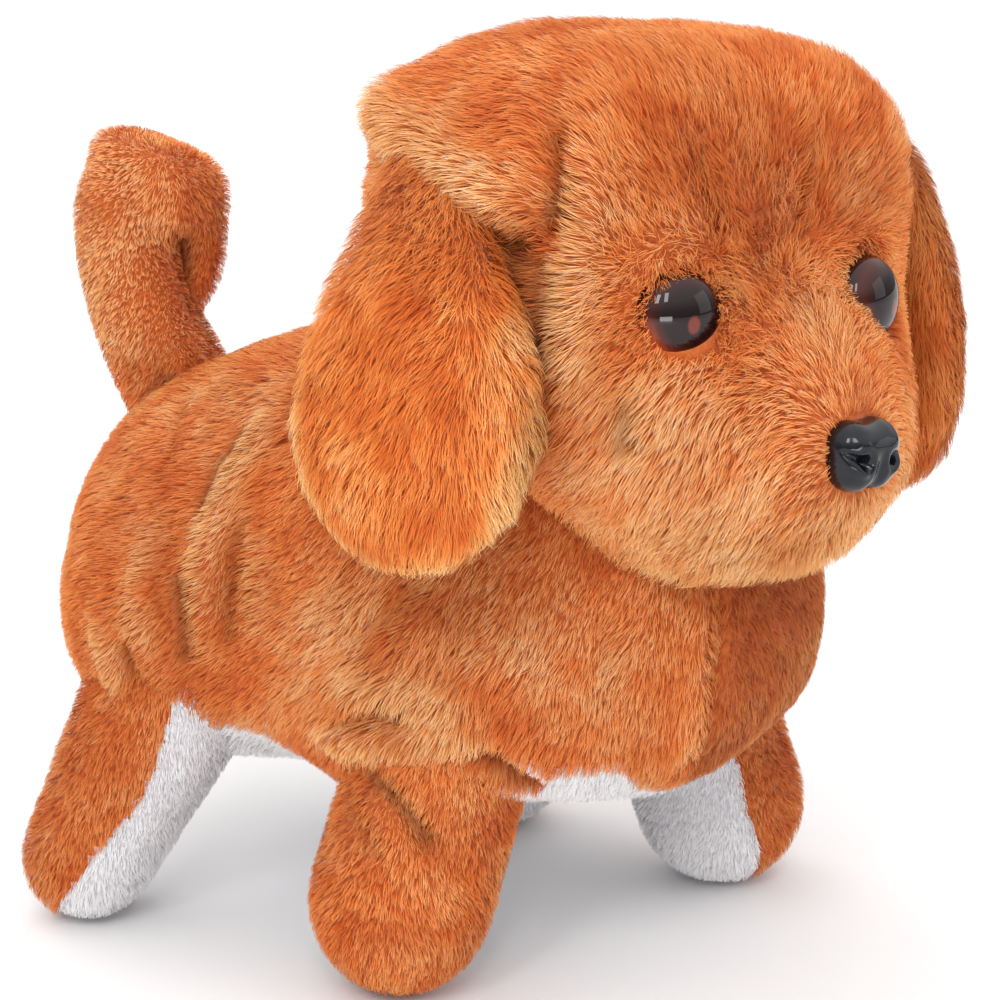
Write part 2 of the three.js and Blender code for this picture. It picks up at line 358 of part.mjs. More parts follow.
// ---- neck post on the housing, and the head that turns on it
add("neck_post", cut(join(cylZ(0, NECK_Y, 9, CH_Z1 + GAP, CH_Z1 + 2.4, 20), cylZ(0, NECK_Y, 5, CH_Z1 + 2, CH_Z1 + 24, 16), cylZ(0, NECK_Y, 6, CH_Z1 + 24, CH_Z1 + 27, 16, 4)), cylZ(0, NECK_Y, 1.2, CH_Z1 - 1, CH_Z1 + 30, 8)), MAT.shell);
const headM = new THREE.Matrix4().makeTranslation(0, NECK_Y, NECK_Z).multiply(new THREE.Matrix4().makeRotationFromEuler(new THREE.Euler(0, rad(HEAD_ROLL), rad(HEAD_YAW), "ZYX"))).multiply(new THREE.Matrix4().makeTranslation(...HEAD_C));
const headInv = headM.clone().invert();
const head = group();
head.applyMatrix4(headM);
const headOuter = blob(HEAD, [0, 0, 0], { k: 14, detail: 5 });
const headInner = blob(HEAD, [0, 0, 0], { k: 14, detail: 3, grow: -PLUSH });
const headFill = cut(blob(HEAD, [0, 0, 0], { k: 14, detail: 3, grow: -PLUSH - 1.4 }), blob(HEAD, [0, 0, 0], { k: 14, detail: 2, grow: -PLUSH - 12 }));
// turned pieces in the head's own frame: the post's bore is upright in the world
const socketW = cut(join(cylZ(0, NECK_Y, 9, CH_Z1 + 3, CH_Z1 + 23.4, 20), cylZ(0, NECK_Y, 11, CH_Z1 + 8, CH_Z1 + 10, 20)), cylZ(0, NECK_Y, 5.4, CH_Z1, CH_Z1 + 26, 20));
const holeW = join(cylZ(0, NECK_Y, 11.4, CH_Z1 - 30, CH_Z1 + 27.6, 20), cylZ(0, NECK_Y, 21, CH_Z1 - 30, CH_Z1 + 3.2, 24));
const inHead = (m) => turn(m, headInv);
const button = (r, dome, n = 16) => {
  // a domed button on a shank, pointing along -Y, with its rim at y = 0
  const pts = [];
  for (let i = 0; i <= 4; i++) { const t = (i / 4) * (Math.PI / 2); pts.push(new THREE.Vector2(Math.sin(t) * r, -Math.cos(t) * dome)); }
  pts.push(new THREE.Vector2(r, 1), new THREE.Vector2(1.9, 1), new THREE.Vector2(1.9, 14), new THREE.Vector2(0, 14));
  return new THREE.LatheGeometry(pts, n);
};
function facing(x, y, z, yaw, pitch = 0) {
  return new THREE.Matrix4().makeRotationFromEuler(new THREE.Euler(rad(pitch), 0, rad(yaw), "ZYX")).setPosition(x, y, z);
}
const flip = (g) => { const s = solidAny(g); return s; };
function solidAny(g) {
  const a = solid(g);
  if (a.volume() > 0) return a;
  const h = mergeVertices(stripped(g.clone()), 1e-4), i = h.index.array;
  for (let k = 0; k < i.length; k += 3) [i[k + 1], i[k + 2]] = [i[k + 2], i[k + 1]];
  return solid(h);
}
const eyeS = flip(button(8, 6)), washerS = cut(solidAny(new THREE.CylinderGeometry(6.5, 6.5, 1.2, 18)), solidAny(new THREE.CylinderGeometry(2.3, 2.3, 4, 14)));
const eyeCut = join(cylY(0, 0, 8.5, -9, 1.6, 20), cylY(0, 0, 2.3, 1, 16, 12)), washerCut = cylY(0, 0, 7, 6.6, 9.4, 18);
const noseCut = join(cylY(0, 0, 8.7, -9, 1.6, 20), cylY(0, 0, 2.3, 1, 16, 12));
// nose: a rounded triangle with a dip on top, two nostrils and a centre groove
function noseSolid() {
  const g = mergeVertices(stripped(new THREE.IcosahedronGeometry(1, 4)), 1e-4), p = g.attributes.position;
  for (let i = 0; i < p.count; i++) {
    let x = p.getX(i), y = p.getY(i), z = p.getZ(i);
    const w = 7.9 * (1 - 0.16 * (1 - z)) + 0.5;
    let X = x * w, Z = z * 7.2, Y = y * (y < 0 ? 7 : 2.5);
    if (z > 0) Z -= 1.5 * Math.exp(-((x / 0.28) ** 2)) * z;
    if (y < 0) { Y += 0.8 * Math.exp(-((x / 0.14) ** 2)) * (z < 0.35 ? 1 : 0.3); for (const s of [-1, 1]) Y += 1.9 * Math.exp(-(((x - s * 0.42) / 0.16) ** 2) - (((z + 0.02) / 0.17) ** 2)); }
    p.setXYZ(i, X, Y, Z);
  }
  return solid(g).intersect(box(-20, 20, -20, 1, -20, 20)).add(cylY(0, 0, 1.9, 0.5, 14, 12));
}
const eyeM = [-1, 1].map((s) => facing(s * EYE[0], EYE[1], EYE[2], s * 24, 0));
const noseM = facing(NOSE[0], NOSE[1], NOSE[2], 0, 0);
// ears
const tilt = rad(EAR_TILT), en = new THREE.Vector3(Math.cos(tilt), -Math.sin(tilt), 0), ew = new THREE.Vector3(Math.sin(tilt), Math.cos(tilt), 0);
const top = new THREE.Vector3(...EAR_TOP);
const earAt = (d, back, out) => top.clone().add(new THREE.Vector3(0, 0, -d)).addScaledVector(ew, back).addScaledVector(en, out);
const earLoft = loft(earAt(0, 0, -1), EAR_RINGS.map(([d, hw, ht, cw, cn]) => ({ c: earAt(d, cw, cn), a: ew.clone().multiplyScalar(hw), b: en.clone().multiplyScalar(ht) })), earAt(77, 1, 14), 12);
const headGrown = blob(HEAD, [0, 0, 0], { k: 14, detail: 4, grow: 1.2 });
const biggest = (m) => m.decompose().sort((a, b) => b.volume() - a.volume())[0];
const earLeft = biggest(cut(earLoft, headGrown)), earRight = biggest(cut(mirrorX(earLoft), headGrown));

const holes = [...eyeM.map((m) => turn(eyeCut, m)), turn(noseCut, noseM)];
const pockets = [...eyeM.map((m) => turn(washerCut, m)), turn(washerCut, noseM)];
add("head_plush", biggest(cut(headOuter, headInner, inHead(holeW), ...holes, ...pockets)), MAT.plush, head);
add("head_filling", biggest(cut(headFill, inHead(holeW), ...holes, ...pockets)), MAT.fill, head);
add("neck_socket", inHead(socketW), MAT.shell, head);
add("ear_left", earLeft, MAT.plush, head);
add("ear_right", earRight, MAT.plush, head);
["right", "left"].forEach((n, i) => {
  add("eye_" + n, turn(eyeS, eyeM[i]), MAT.eye, head);
  add("eye_washer_" + n, turn(turn(washerS, new THREE.Matrix4().makeTranslation(0, 8, 0)), eyeM[i]), MAT.shell, head);
});
add("nose", turn(noseSolid(), noseM), MAT.nose, head);
add("nose_washer", turn(turn(washerS, new THREE.Matrix4().makeTranslation(0, 8, 0)), noseM), MAT.shell, head);

// ---- tail: arm and stem on a vertical pivot behind the housing, plush over the stem
const TP = TAIL_LINE.map((p) => new THREE.Vector3(...p));
const tailCurve = new THREE.CatmullRomCurve3(TP, false, "catmullrom", 0.5);
function tube(curve, radii, n, steps, t0 = 0, t1 = 1) {
  const rings = [];
  const up = new THREE.Vector3(1, 0, 0);
  for (let i = 0; i <= steps; i++) {
    const t = t0 + ((t1 - t0) * i) / steps, c = curve.getPoint(t), T = curve.getTangent(t);
    const a = up.clone().addScaledVector(T, -up.dot(T)).normalize(), b = T.clone().cross(a);
    const q = t * (radii.length - 1), j = Math.min(Math.floor(q), radii.length - 2), u = q - j;
    const ra = radii[j][0] * (1 - u) + radii[j + 1][0] * u, rb = radii[j][1] * (1 - u) + radii[j + 1][1] * u;
    rings.push({ c, a: a.multiplyScalar(ra), b: b.multiplyScalar(rb), T });
  }
  const cap = (r, s, d) => r.c.clone().addScaledVector(r.T, s * d);
  return loft(cap(rings[0], -1, 0.4), rings, cap(rings[rings.length - 1], 1, 2.5), n);
}
const stemLine = new THREE.CatmullRomCurve3([[0, TAIL_Y + 1, 92.3], [0, TAIL_Y + 8, 94], [0, 57, 100], [0, 63, 110], [0, 70, 123], [0, 72.5, 134]].map((p) => new THREE.Vector3(...p)));
const stemTube = (g) => tube(stemLine, [[2 + g, 2 + g], [2 + g, 2 + g], [1.8 + g, 1.8 + g], [1.4 + g, 1.4 + g]], 8, 10);
const tailHub = join(cylZ(0, TAIL_Y, 4, 89, 95.5, 16), box(-2, 2, 25, TAIL_Y, 91, 93.6), cylZ(0, 25, 2.4, 91, 93.6, 12));
add("tail_stem", cut(join(tailHub, stemTube(0)), cylZ(0, TAIL_Y, 1.5, 80, 110, 12)), MAT.leg);
add("tail_bracket", cut(join(box(-7, 7, CH_Y1 + GAP, CH_Y1 + 1.9, 82, 98), box(-5, 5, CH_Y1 + 1, TAIL_Y + 4.5, 85.6, 88.6), box(-5, 5, CH_Y1 + 1, TAIL_Y + 4.5, 96, 98)), box(-6.2, 6.2, CH_Y1, CH_Y1 + 3, 90, 94.6), cylZ(0, TAIL_Y, 1.3, 80, 100, 12)), MAT.shell);
add("tail_pin", join(cylZ(0, TAIL_Y, 1.0, 84.6, 99, 10), cylZ(0, TAIL_Y, 2.2, 98.3, 99.4, 12)), MAT.steel);
const tailPiece = (i) => {
  const a = TAIL_LINE[i], b = TAIL_LINE[i + 1];
  return blob([["c", a, b, TAIL_R[i][0], TAIL_R[i + 1][0]]], a.map((x, k) => (x + b[k]) / 2), { k: 1, detail: 2 });
};
const tailSolid = join(tube(tailCurve, TAIL_R, 16, 8, 0.04, 0.38), ...[3, 4, 5, 6, 7, 8].map(tailPiece));
const clearHub = join(cylZ(0, TAIL_Y, 10, 80, 104, 20));
add("tail_plush", biggest(cut(tailSolid, stemTube(0.35), clearHub)), MAT.plush);

// ---- torso skin: hollow, open at the belly, the neck, the four legs and the tail
let torso = cut(blob(TORSO, [0, 0, 72], { k: 16, detail: 6 }), blob(TORSO, [0, 0, 72], { k: 16, detail: 3, grow: -PLUSH }));
for (const side of [-1, 1]) {
  const x = side > 0 ? [17.2, 80] : [-80, -17.2];
  const pocket = (y, a, b, c, z) => prismX([[y - c, -5], [y + c, -5], [y + b, 37], [y + a, z], [y - a, z]].concat([[y - b, 37]]), x[0], x[1]);
  torso = cut(torso, pocket(FRONT_Y, 27, 30, 40, 57.5), pocket(REAR_Y, 27, 31.5, 46, 60));
}
torso = cut(torso, box(-17.5, 17.5, BOX_Y0 - 0.8, BOX_Y1 + 0.8, 20, 50));
const headSweep = [];
const headWide = turn(blob(HEAD, [0, 0, 0], { k: 14, detail: 3, grow: 2.2 }), headM);
for (let a = -12; a <= 52; a += 8) headSweep.push(turn(headWide, new THREE.Matrix4().makeTranslation(0, NECK_Y, 0).multiply(new THREE.Matrix4().makeRotationZ(rad(a))).multiply(new THREE.Matrix4().makeTranslation(0, -NECK_Y, 0))));
const tailWide = tube(tailCurve, TAIL_R.map(([a, b]) => [a + 1.8, b + 1.8]), 10, 8, 0, 0.4);
const tailSweep = [-25, -12.5, 0, 12.5, 25].map((a) => turn(tailWide, new THREE.Matrix4().makeTranslation(0, TAIL_Y, 0).multiply(new THREE.Matrix4().makeRotationZ(rad(a))).multiply(new THREE.Matrix4().makeTranslation(0, -TAIL_Y, 0))));
torso = cut(torso, join(...headSweep), join(...tailSweep));
torso = cut(torso, cylZ(0, TAIL_Y, 9, 86, 104, 16));
add("torso_plush", biggest(torso), MAT.plush);

export default root;
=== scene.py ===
import math

import bmesh
import bpy
import numpy as np
from mathutils import Matrix, Vector
from mathutils.kdtree import KDTree


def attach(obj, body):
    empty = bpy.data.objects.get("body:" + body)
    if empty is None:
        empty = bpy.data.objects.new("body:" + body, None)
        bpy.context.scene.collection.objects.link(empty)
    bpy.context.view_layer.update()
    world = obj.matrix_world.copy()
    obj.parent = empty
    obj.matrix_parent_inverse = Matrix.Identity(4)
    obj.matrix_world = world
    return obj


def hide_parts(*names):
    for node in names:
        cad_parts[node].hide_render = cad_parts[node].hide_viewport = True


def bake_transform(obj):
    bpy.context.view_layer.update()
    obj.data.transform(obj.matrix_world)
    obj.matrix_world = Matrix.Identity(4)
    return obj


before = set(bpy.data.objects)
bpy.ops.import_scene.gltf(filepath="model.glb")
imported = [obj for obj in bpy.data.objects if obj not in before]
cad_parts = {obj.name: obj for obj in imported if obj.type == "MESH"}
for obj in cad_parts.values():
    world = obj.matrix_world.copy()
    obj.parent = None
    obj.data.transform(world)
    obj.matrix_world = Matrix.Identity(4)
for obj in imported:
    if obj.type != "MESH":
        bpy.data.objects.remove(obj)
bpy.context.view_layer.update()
C = bpy.context
D = bpy.data

# ---------------------------------------------------------------------------------------------
# Everything is laid out in millimetres from the middle of the body, as in the CAD source, and
# moved by STAND_AT and scaled to metres when a mesh is made.
STAND_AT = np.array([4.65, 14.25, 0.0])
def out(p):
    return (np.asarray(p, float) + STAND_AT) / 1000.0

def rz(a):
    c, s = math.cos(a), math.sin(a)
    return np.array([[c, -s, 0], [s, c, 0], [0, 0, 1.0]])

def ry(a):
    c, s = math.cos(a), math.sin(a)
    return np.array([[c, 0, s], [0, 1, 0], [-s, 0, c.real]])

NECK = np.array([0, -34.0, 100.0])
HEAD_R = rz(math.radians(-20)) @ ry(math.radians(3))
HEAD_O = np.array([0, -21.0, 31.0])
def head_to_world(p):
    return (np.asarray(p, float) + HEAD_O) @ HEAD_R.T + NECK
def world_to_head(p):
    return (np.asarray(p, float) - NECK) @ HEAD_R - HEAD_O

TORSO = [
    ("e", (0, -38, 77), (42, 43.5, 40), 2.3), ("e", (0, -4, 81), (41, 58, 39), 2.2), ("e", (0, 36, 69), (42, 40, 36), 2.2),
    ("e", (0, 26, 60), (40, 36, 20), 2), ("e", (0, -30, 104), (30, 34, 28), 2),
    ("e", (-34, -28, 60), (17, 20, 20), 2), ("e", (34, -36, 57), (17.5, 20, 21), 2), ("e", (-32, 36, 60), (18, 21, 21), 2), ("e", (32, 30, 60), (18, 21, 21), 2),
    ("e", (31, -51, 50), (15, 17, 20), 2), ("e", (0, -47, 60), (34, 27, 20), 2.4), ("e", (-37, -9, 53), (13, 18, 14), 2),
    ("e", (-24, 3, 52), (13, 32, 10), 2.2), ("e", (26, 3, 50), (13, 32, 10), 2.2),
]
LEG = {
    "front_right": ((-35, -27, 50), (-40, -20, 17.5), 18, 18.5),
    "rear_right": ((-34, 36, 50), (-44, 52, 13), 18, 14),
    "front_left": ((34, -40, 50), (37, -50, 17.5), 18, 18.5),
    "rear_left": ((34, 20, 50), (40, 4, 13), 18, 14),
}
HEAD = [("e", (0, 5, 10), (49, 39, 39), 3.4), ("e", (0, -18, -19), (36, 35, 26), 2.3)]
EYES = {-1: (-24.0, -30.0, 3.2), 1: (17.8, -34.0, 3.2)}  # right, left
EYE_TURN = math.radians(18)
NOSE = (-1.2, -52, -18.5)
EAR_TOP = (47, -1, 35)
EAR_TILT = math.radians(22)
EAR_RINGS = [
    (2, 11, 4, 4.5, -7), (8, 12, 6, 6.4, -5), (18, 13.6, 8, 6.2, 1), (30, 19, 10, 3, 7.5), (44, 24, 9.8, 1, 11), (56, 24, 9.5, 1, 13), (66, 20, 8.5, 1, 14), (73, 12, 6.5, 1, 14), (76, 5, 3, 1, 14),
]
TAIL_LINE = [(0, 54, 92), (-0.5, 62, 106), (-1, 68, 120), (-1.5, 71.9, 134), (0, 71, 143.5), (5, 68, 146), (10, 65, 142), (13, 63.5, 134), (14, 64, 124), (13, 66, 114)]
TAIL_R = [(13, 13), (12.5, 12.5), (11.5, 11.5), (10, 10), (9, 9), (8.6, 8.6), (8.8, 8.8), (8.5, 8.5), (7.5, 7.5), (5, 5)]

# ---------------------------------------------------------------------------------------------
# fields and surfaces
def unit(v):
    return v / np.maximum(np.linalg.norm(v, axis=-1, keepdims=True), 1e-9)

def prim(P, p):
    if p[0] == "e":
        c, r, n = np.array(p[1], float), np.array(p[2], float), p[3]
        s = (np.abs((P - c) / r) ** n).sum(-1)
        return (s ** (1 / n) - 1) * r.min()
    a, b, ra, rb = np.array(p[1], float), np.array(p[2], float), p[3], p[4]
    u = b - a
    t = np.clip(((P - a) @ u) / (u @ u), 0, 1)
    return np.linalg.norm(P - a - t[..., None] * u, axis=-1) - (ra + (rb - ra) * t)

def field(P, prims, k):
    P = np.asarray(P, float)
    d = None
    for p in prims:
        e = prim(P, p)
        if d is None:
            d = e
        else:
            h = np.maximum(k - np.abs(d - e), 0) / k
            d = np.minimum(d, e) - h * h * k * 0.25
    return d

def torso_field(P):
    return field(P, TORSO, 16.0)
def head_field(P):
    return field(world_to_head(P), HEAD, 14.0)
def leg_field(P, name):
    a, b, ra, rb = LEG[name]
    return prim(np.asarray(P, float), ("c", a, b, ra, rb))

def ico(sub):
    bm = bmesh.new()
    bmesh.ops.create_icosphere(bm, subdivisions=sub, radius=1.0)
    v = np.array([x.co[:] for x in bm.verts])
    f = np.array([[x.index for x in g.verts] for g in bm.faces])
    bm.free()
    return unit(v), f

def star(f, centre, sub, grow, reach=110.0, step=2.0):
    d, tri = ico(sub)
    c = np.array(centre, float)
    hi = np.full(len(d), reach)
    lo = np.full(len(d), 0.5)
    open_ = np.ones(len(d), bool)
    r = reach
    while r > 0.5 and open_.any():
        i = np.where(open_)[0]
        inside = f(c + d[i] * r) - grow < 0
        lo[i[inside]] = r
        open_[i[inside]] = False
        hi[i[~inside]] = r
        r -= step
    for _ in range(14):
        m = (lo + hi) / 2
        inside = f(c + d * m[:, None]) - grow < 0
        lo = np.where(inside, m, lo)
        hi = np.where(inside, hi, m)
    return c + d * lo[:, None], tri

def sweep(points, ra, rb, up, rings, sides, cap0=0.4, cap1=0.6):
    """A closed tube along a smooth line through the points, with half axes ra and rb along it."""
    P = np.array(points, float)
    m = len(P)
    def cr(t):
        q = np.clip(t * (m - 1), 0, m - 1 - 1e-9)
        i = np.floor(q).astype(int)
        u = (q - i)[:, None]
        g = lambda j: P[np.clip(j, 0, m - 1)]
        a, b, c, d = g(i - 1), g(i), g(i + 1), g(i + 2)
        a = np.where((i - 1 < 0)[:, None], 2 * b - c, a)
        d = np.where((i + 2 > m - 1)[:, None], 2 * c - b, d)
        return 0.5 * (2 * b + (c - a) * u + (2 * a - 5 * b + 4 * c - d) * u * u + (3 * b - a - 3 * c + d) * u ** 3)
    t = np.linspace(0, 1, rings)
    c = cr(t)
    T = unit(np.gradient(c, axis=0))
    A = unit(np.array(up, float) - (T @ np.array(up, float))[:, None] * T)
    B = np.cross(T, A)
    k = np.linspace(0, 1, len(ra))
    a, b = np.interp(t, k, ra), np.interp(t, k, rb)
    th = np.linspace(0, 2 * np.pi, sides, endpoint=False)
    V = (c[:, None] + A[:, None] * (a[:, None] * np.cos(th))[..., None] + B[:, None] * (b[:, None] * np.sin(th))[..., None]).reshape(-1, 3)
    F = []
    for i in range(rings - 1):
        for j in range(sides):
            p, q = i * sides + j, i * sides + (j + 1) % sides
            F += [(p, q, q + sides), (p, q + sides, p + sides)]
    n = len(V)
    V = np.vstack([V, c[0] - T[0] * cap0 * a[0], c[-1] + T[-1] * cap1 * a[-1]])
    for j in range(sides):
        F += [(n, (j + 1) % sides, j), (n + 1, (rings - 1) * sides + j, (rings - 1) * sides + (j + 1) % sides)]
    return V, np.array(F), c, T

def normals(V, F):
    n = np.cross(V[F[:, 1]] - V[F[:, 0]], V[F[:, 2]] - V[F[:, 0]])
    N = np.zeros_like(V)
    for k in range(3):
        np.add.at(N, F[:, k], n)
    return unit(N)

def noise(P, scale, seed=0, octaves=1):
    """Smooth value noise in -1..1, the same on every run."""
    P = np.asarray(P, float) / scale
    total, amp, norm = 0, 1.0, 0.0
    for o in range(octaves):
        Q = P * 2 ** o + 17.3 * (seed + 1) + o * 5.1
        i = np.floor(Q).astype(np.int64)
        f = Q - i
        f = f * f * (3 - 2 * f)
        v = 0
        for dx in (0, 1):
            for dy in (0, 1):
                for dz in (0, 1):
                    h = ((i[..., 0] + dx) * 73856093) ^ ((i[..., 1] + dy) * 19349663) ^ ((i[..., 2] + dz) * 83492791) ^ (seed * 2654435761 + o * 97)
                    h = (h ^ (h >> 13)) * 1274126177
                    h = (h ^ (h >> 16)) & 0xFFFFFF
                    w = (f[..., 0] if dx else 1 - f[..., 0]) * (f[..., 1] if dy else 1 - f[..., 1]) * (f[..., 2] if dz else 1 - f[..., 2])
                    v = v + w * (h / 8388607.5 - 1)
        total = total + amp * v
        norm += amp
        amp *= 0.5
    return total / norm

def noise3(P, scale, seed):
    return np.stack([noise(P, scale, seed * 7 + k) for k in range(3)], -1)

def smooth(x, a, b):
    t = np.clip((x - a) / (b - a), 0, 1)
    return t * t * (3 - 2 * t)

def line_distance(P, line):
    """Distance to a polyline, and the place along it from 0 to 1."""
    L = np.array(line, float)
    best = np.full(len(P), 1e9)
    near = np.zeros((len(P), 3))
    along = np.zeros(len(P))
    for i in range(len(L) - 1):
        a, u = L[i], L[i + 1] - L[i]
        t = np.clip(((P - a) @ u) / (u @ u), 0, 1)
        q = a + t[:, None] * u
        d = np.linalg.norm(P - q, axis=1)
        k = d < best
        best = np.where(k, d, best)
        near = np.where(k[:, None], q, near)
        along = np.where(k, (i + t) / (len(L) - 1), along)
    return best, near, along

# ---------------------------------------------------------------------------------------------
# materials, all procedural
def material(name):
    m = D.materials.new(name)
    m.use_nodes = True
    nt = m.node_tree
    b = nt.nodes["Principled BSDF"]
    return m, nt, b

def node(nt, kind, **k):
    n = nt.nodes.new(kind)
    for a, v in k.items():
        setattr(n, a, v)
    return n

def ramp(nt, stops, factor=None, ease="LINEAR"):
    r = node(nt, "ShaderNodeValToRGB")
    r.color_ramp.interpolation = ease
    e = r.color_ramp.elements
    while len(e) > 1:
        e.remove(e[-1])
    e[0].position, e[0].color = stops[0][0], (*stops[0][1], 1)
    for p, c in stops[1:]:
        x = e.new(p)
        x.color = (*c, 1)
    if factor is not None:
        nt.links.new(factor, r.inputs["Fac"])
    return r

def lin(r, g, b):
    f = lambda c: c / 12.92 if c <= 0.04045 else ((c + 0.055) / 1.055) ** 2.4
    return (f(r / 255), f(g / 255), f(b / 255))

def mix(nt, kind, fac, a, b):
    m = node(nt, "ShaderNodeMix", data_type="RGBA", blend_type=kind)
    for s, v in ((m.inputs[0], fac), (m.inputs[6], a), (m.inputs[7], b)):
        if hasattr(v, "is_output") or isinstance(v, bpy.types.NodeSocket):
            nt.links.new(v, s)
        else:
            s.default_value = v if not isinstance(v, tuple) else (*v, 1)[:4]
    return m.outputs[2]

def math_node(nt, op, a, b=0.0, clamp=False):
    m = node(nt, "ShaderNodeMath", operation=op, use_clamp=clamp)
    for s, v in ((m.inputs[0], a), (m.inputs[1], b)):
        if isinstance(v, bpy.types.NodeSocket):
            nt.links.new(v, s)
        else:
            s.default_value = v
    return m.outputs[0]

def attribute(nt, name):
    return node(nt, "ShaderNodeAttribute", attribute_name=name)

def fur_material(name, root, low, mid, tip, patch_dark, patch_light, sheen=0.35, few=(0.84, 0.57, 0.38), many=(1.045, 1.82, 3.3)):
    """Pile fibre: dark at the root, paler at the tip, each fibre a little different, in soft patches."""
    m, nt, b = material(name)
    along = attribute(nt, "along").outputs["Fac"]
    tone = attribute(nt, "tone").outputs["Fac"]
    shade = attribute(nt, "shade").outputs["Fac"]
    base = ramp(nt, [(0.0, root), (0.3, low), (0.68, mid), (1.0, tip)], along, "EASE").outputs["Color"]
    tc = node(nt, "ShaderNodeTexCoord")
    n1 = node(nt, "ShaderNodeTexNoise")
    n1.inputs["Scale"].default_value = 70.0
    n1.inputs["Detail"].default_value = 3.0
    nt.links.new(tc.outputs["Object"], n1.inputs["Vector"])
    patch = ramp(nt, [(0.36, patch_dark), (0.5, (1, 1, 1)), (0.66, patch_light)], n1.outputs["Fac"], "EASE").outputs["Color"]
    c = mix(nt, "MULTIPLY", 1.0, base, patch)
    # tone: random tone per fibre and tuft and the pile's own paler patches, together with painted highlight on fold
    # ridges
    each = ramp(nt, [(0.0, few), (0.4, (1, 1, 1)), (1.0, many)], tone).outputs["Color"]
    c = mix(nt, "MULTIPLY", 1.0, c, each)
    # shade darkens the fibre: painted shade in creases, hollows and sides away from the lamps, with some even
    # darkening
    dark = mix(nt, "MULTIPLY", shade, c, (0.30, 0.19, 0.13))
    nt.links.new(dark, b.inputs["Base Color"])
    b.inputs["Roughness"].default_value = 0.62
    b.inputs["Specular IOR Level"].default_value = 0.28
    b.inputs["Sheen Weight"].default_value = sheen
    b.inputs["Sheen Roughness"].default_value = 0.45
    b.inputs["Sheen Tint"].default_value = (*tip, 1)
    return m

ORANGE = dict(root=(0.70, 0.115, 0.014), low=(0.83, 0.17, 0.024), mid=(0.915, 0.262, 0.048), tip=(0.955, 0.44, 0.15), patch_dark=(0.90, 0.72, 0.58), patch_light=(1.02, 1.12, 1.26))
FUR = fur_material("fur_orange_brown", **ORANGE)
FUR_PALE = fur_material("fur_orange_ear", root=(0.82, 0.16, 0.020), low=(0.92, 0.23, 0.031), mid=(0.965, 0.31, 0.054), tip=(0.985, 0.46, 0.15), patch_dark=(0.94, 0.80, 0.66), patch_light=(1.02, 1.12, 1.3))
WHITE = fur_material("fur_white", root=(0.86, 0.855, 0.86), low=(0.91, 0.905, 0.91), mid=(0.94, 0.935, 0.94), tip=(0.955, 0.95, 0.95), patch_dark=(0.97, 0.97, 0.975), patch_light=(1.0, 1.0, 1.0), sheen=0.2, few=(0.95, 0.945, 0.945), many=(1.04, 1.04, 1.04))

def backing_material(name, a, b2, scale=900):
    """Knitted backing cloth under the pile."""
    m, nt, b = material(name)
    tc = node(nt, "ShaderNodeTexCoord")
    n1 = node(nt, "ShaderNodeTexNoise")
    n1.inputs["Scale"].default_value = scale
    n1.inputs["Detail"].default_value = 4.0
    nt.links.new(tc.outputs["Object"], n1.inputs["Vector"])
    c = ramp(nt, [(0.3, a), (0.7, b2)], n1.outputs["Fac"]).outputs["Color"]
    nt.links.new(c, b.inputs["Base Color"])
    b.inputs["Roughness"].default_value = 0.95
    b.inputs["Sheen Weight"].default_value = 0.3
    bump = node(nt, "ShaderNodeBump")
    bump.inputs["Strength"].default_value = 0.6
    bump.inputs["Distance"].default_value = 0.0006
    nt.links.new(n1.outputs["Fac"], bump.inputs["Height"])
    nt.links.new(bump.outputs["Normal"], b.inputs["Normal"])
    return m

BACKING = backing_material("plush_backing", (0.45, 0.09, 0.014), (0.62, 0.15, 0.025))
BACKING_WHITE = backing_material("plush_backing_white", lin(190, 188, 194), lin(222, 220, 224))

# ---------------------------------------------------------------------------------------------
# meshes
def link(o):
    C.scene.collection.objects.link(o)
    return o

def mesh_object(name, V, F, mat=None, smooth_=True):
    me = D.meshes.new(name)
    me.from_pydata(out(V).tolist(), [], [list(map(int, f)) for f in F])
    me.update()
    if smooth_:
        me.polygons.foreach_set("use_smooth", np.ones(len(me.polygons), bool))
    o = link(D.objects.new(name, me))
    if mat:
        me.materials.append(mat)
    return o

def arrays(o):
    me = o.data
    v = np.empty(len(me.vertices) * 3)
    me.vertices.foreach_get("co", v)
    V = v.reshape(-1, 3) * 1000 - STAND_AT
    me.calc_loop_triangles()
    f = np.empty(len(me.loop_triangles) * 3, np.int32)
    me.loop_triangles.foreach_get("vertices", f)
    return V, f.reshape(-1, 3)

def set_verts(o, V):
    o.data.vertices.foreach_set("co", out(V).ravel())
    o.data.update()

def modify(o, **kinds):
    """Applies the modifiers the object has and leaves only the mesh."""
    C.view_layer.objects.active = o
    dg = C.evaluated_depsgraph_get()
    me = D.meshes.new_from_object(o.evaluated_get(dg))
    old = o.data
    o.modifiers.clear()
    o.data = me
    D.meshes.remove(old)
    return o

def remesh(o, mm):
    r = o.modifiers.new("r", "REMESH")
    r.mode = "VOXEL"
    r.voxel_size = mm / 1000
    r.use_smooth_shade = True
    mats = [m for m in o.data.materials]
    modify(o)
    if not o.data.materials:
        for m in mats:
            o.data.materials.append(m)
    return o

def subdivide(o, n=1):
    s = o.modifiers.new("s", "SUBSURF")
    s.levels = s.render_levels = n
    return modify(o)

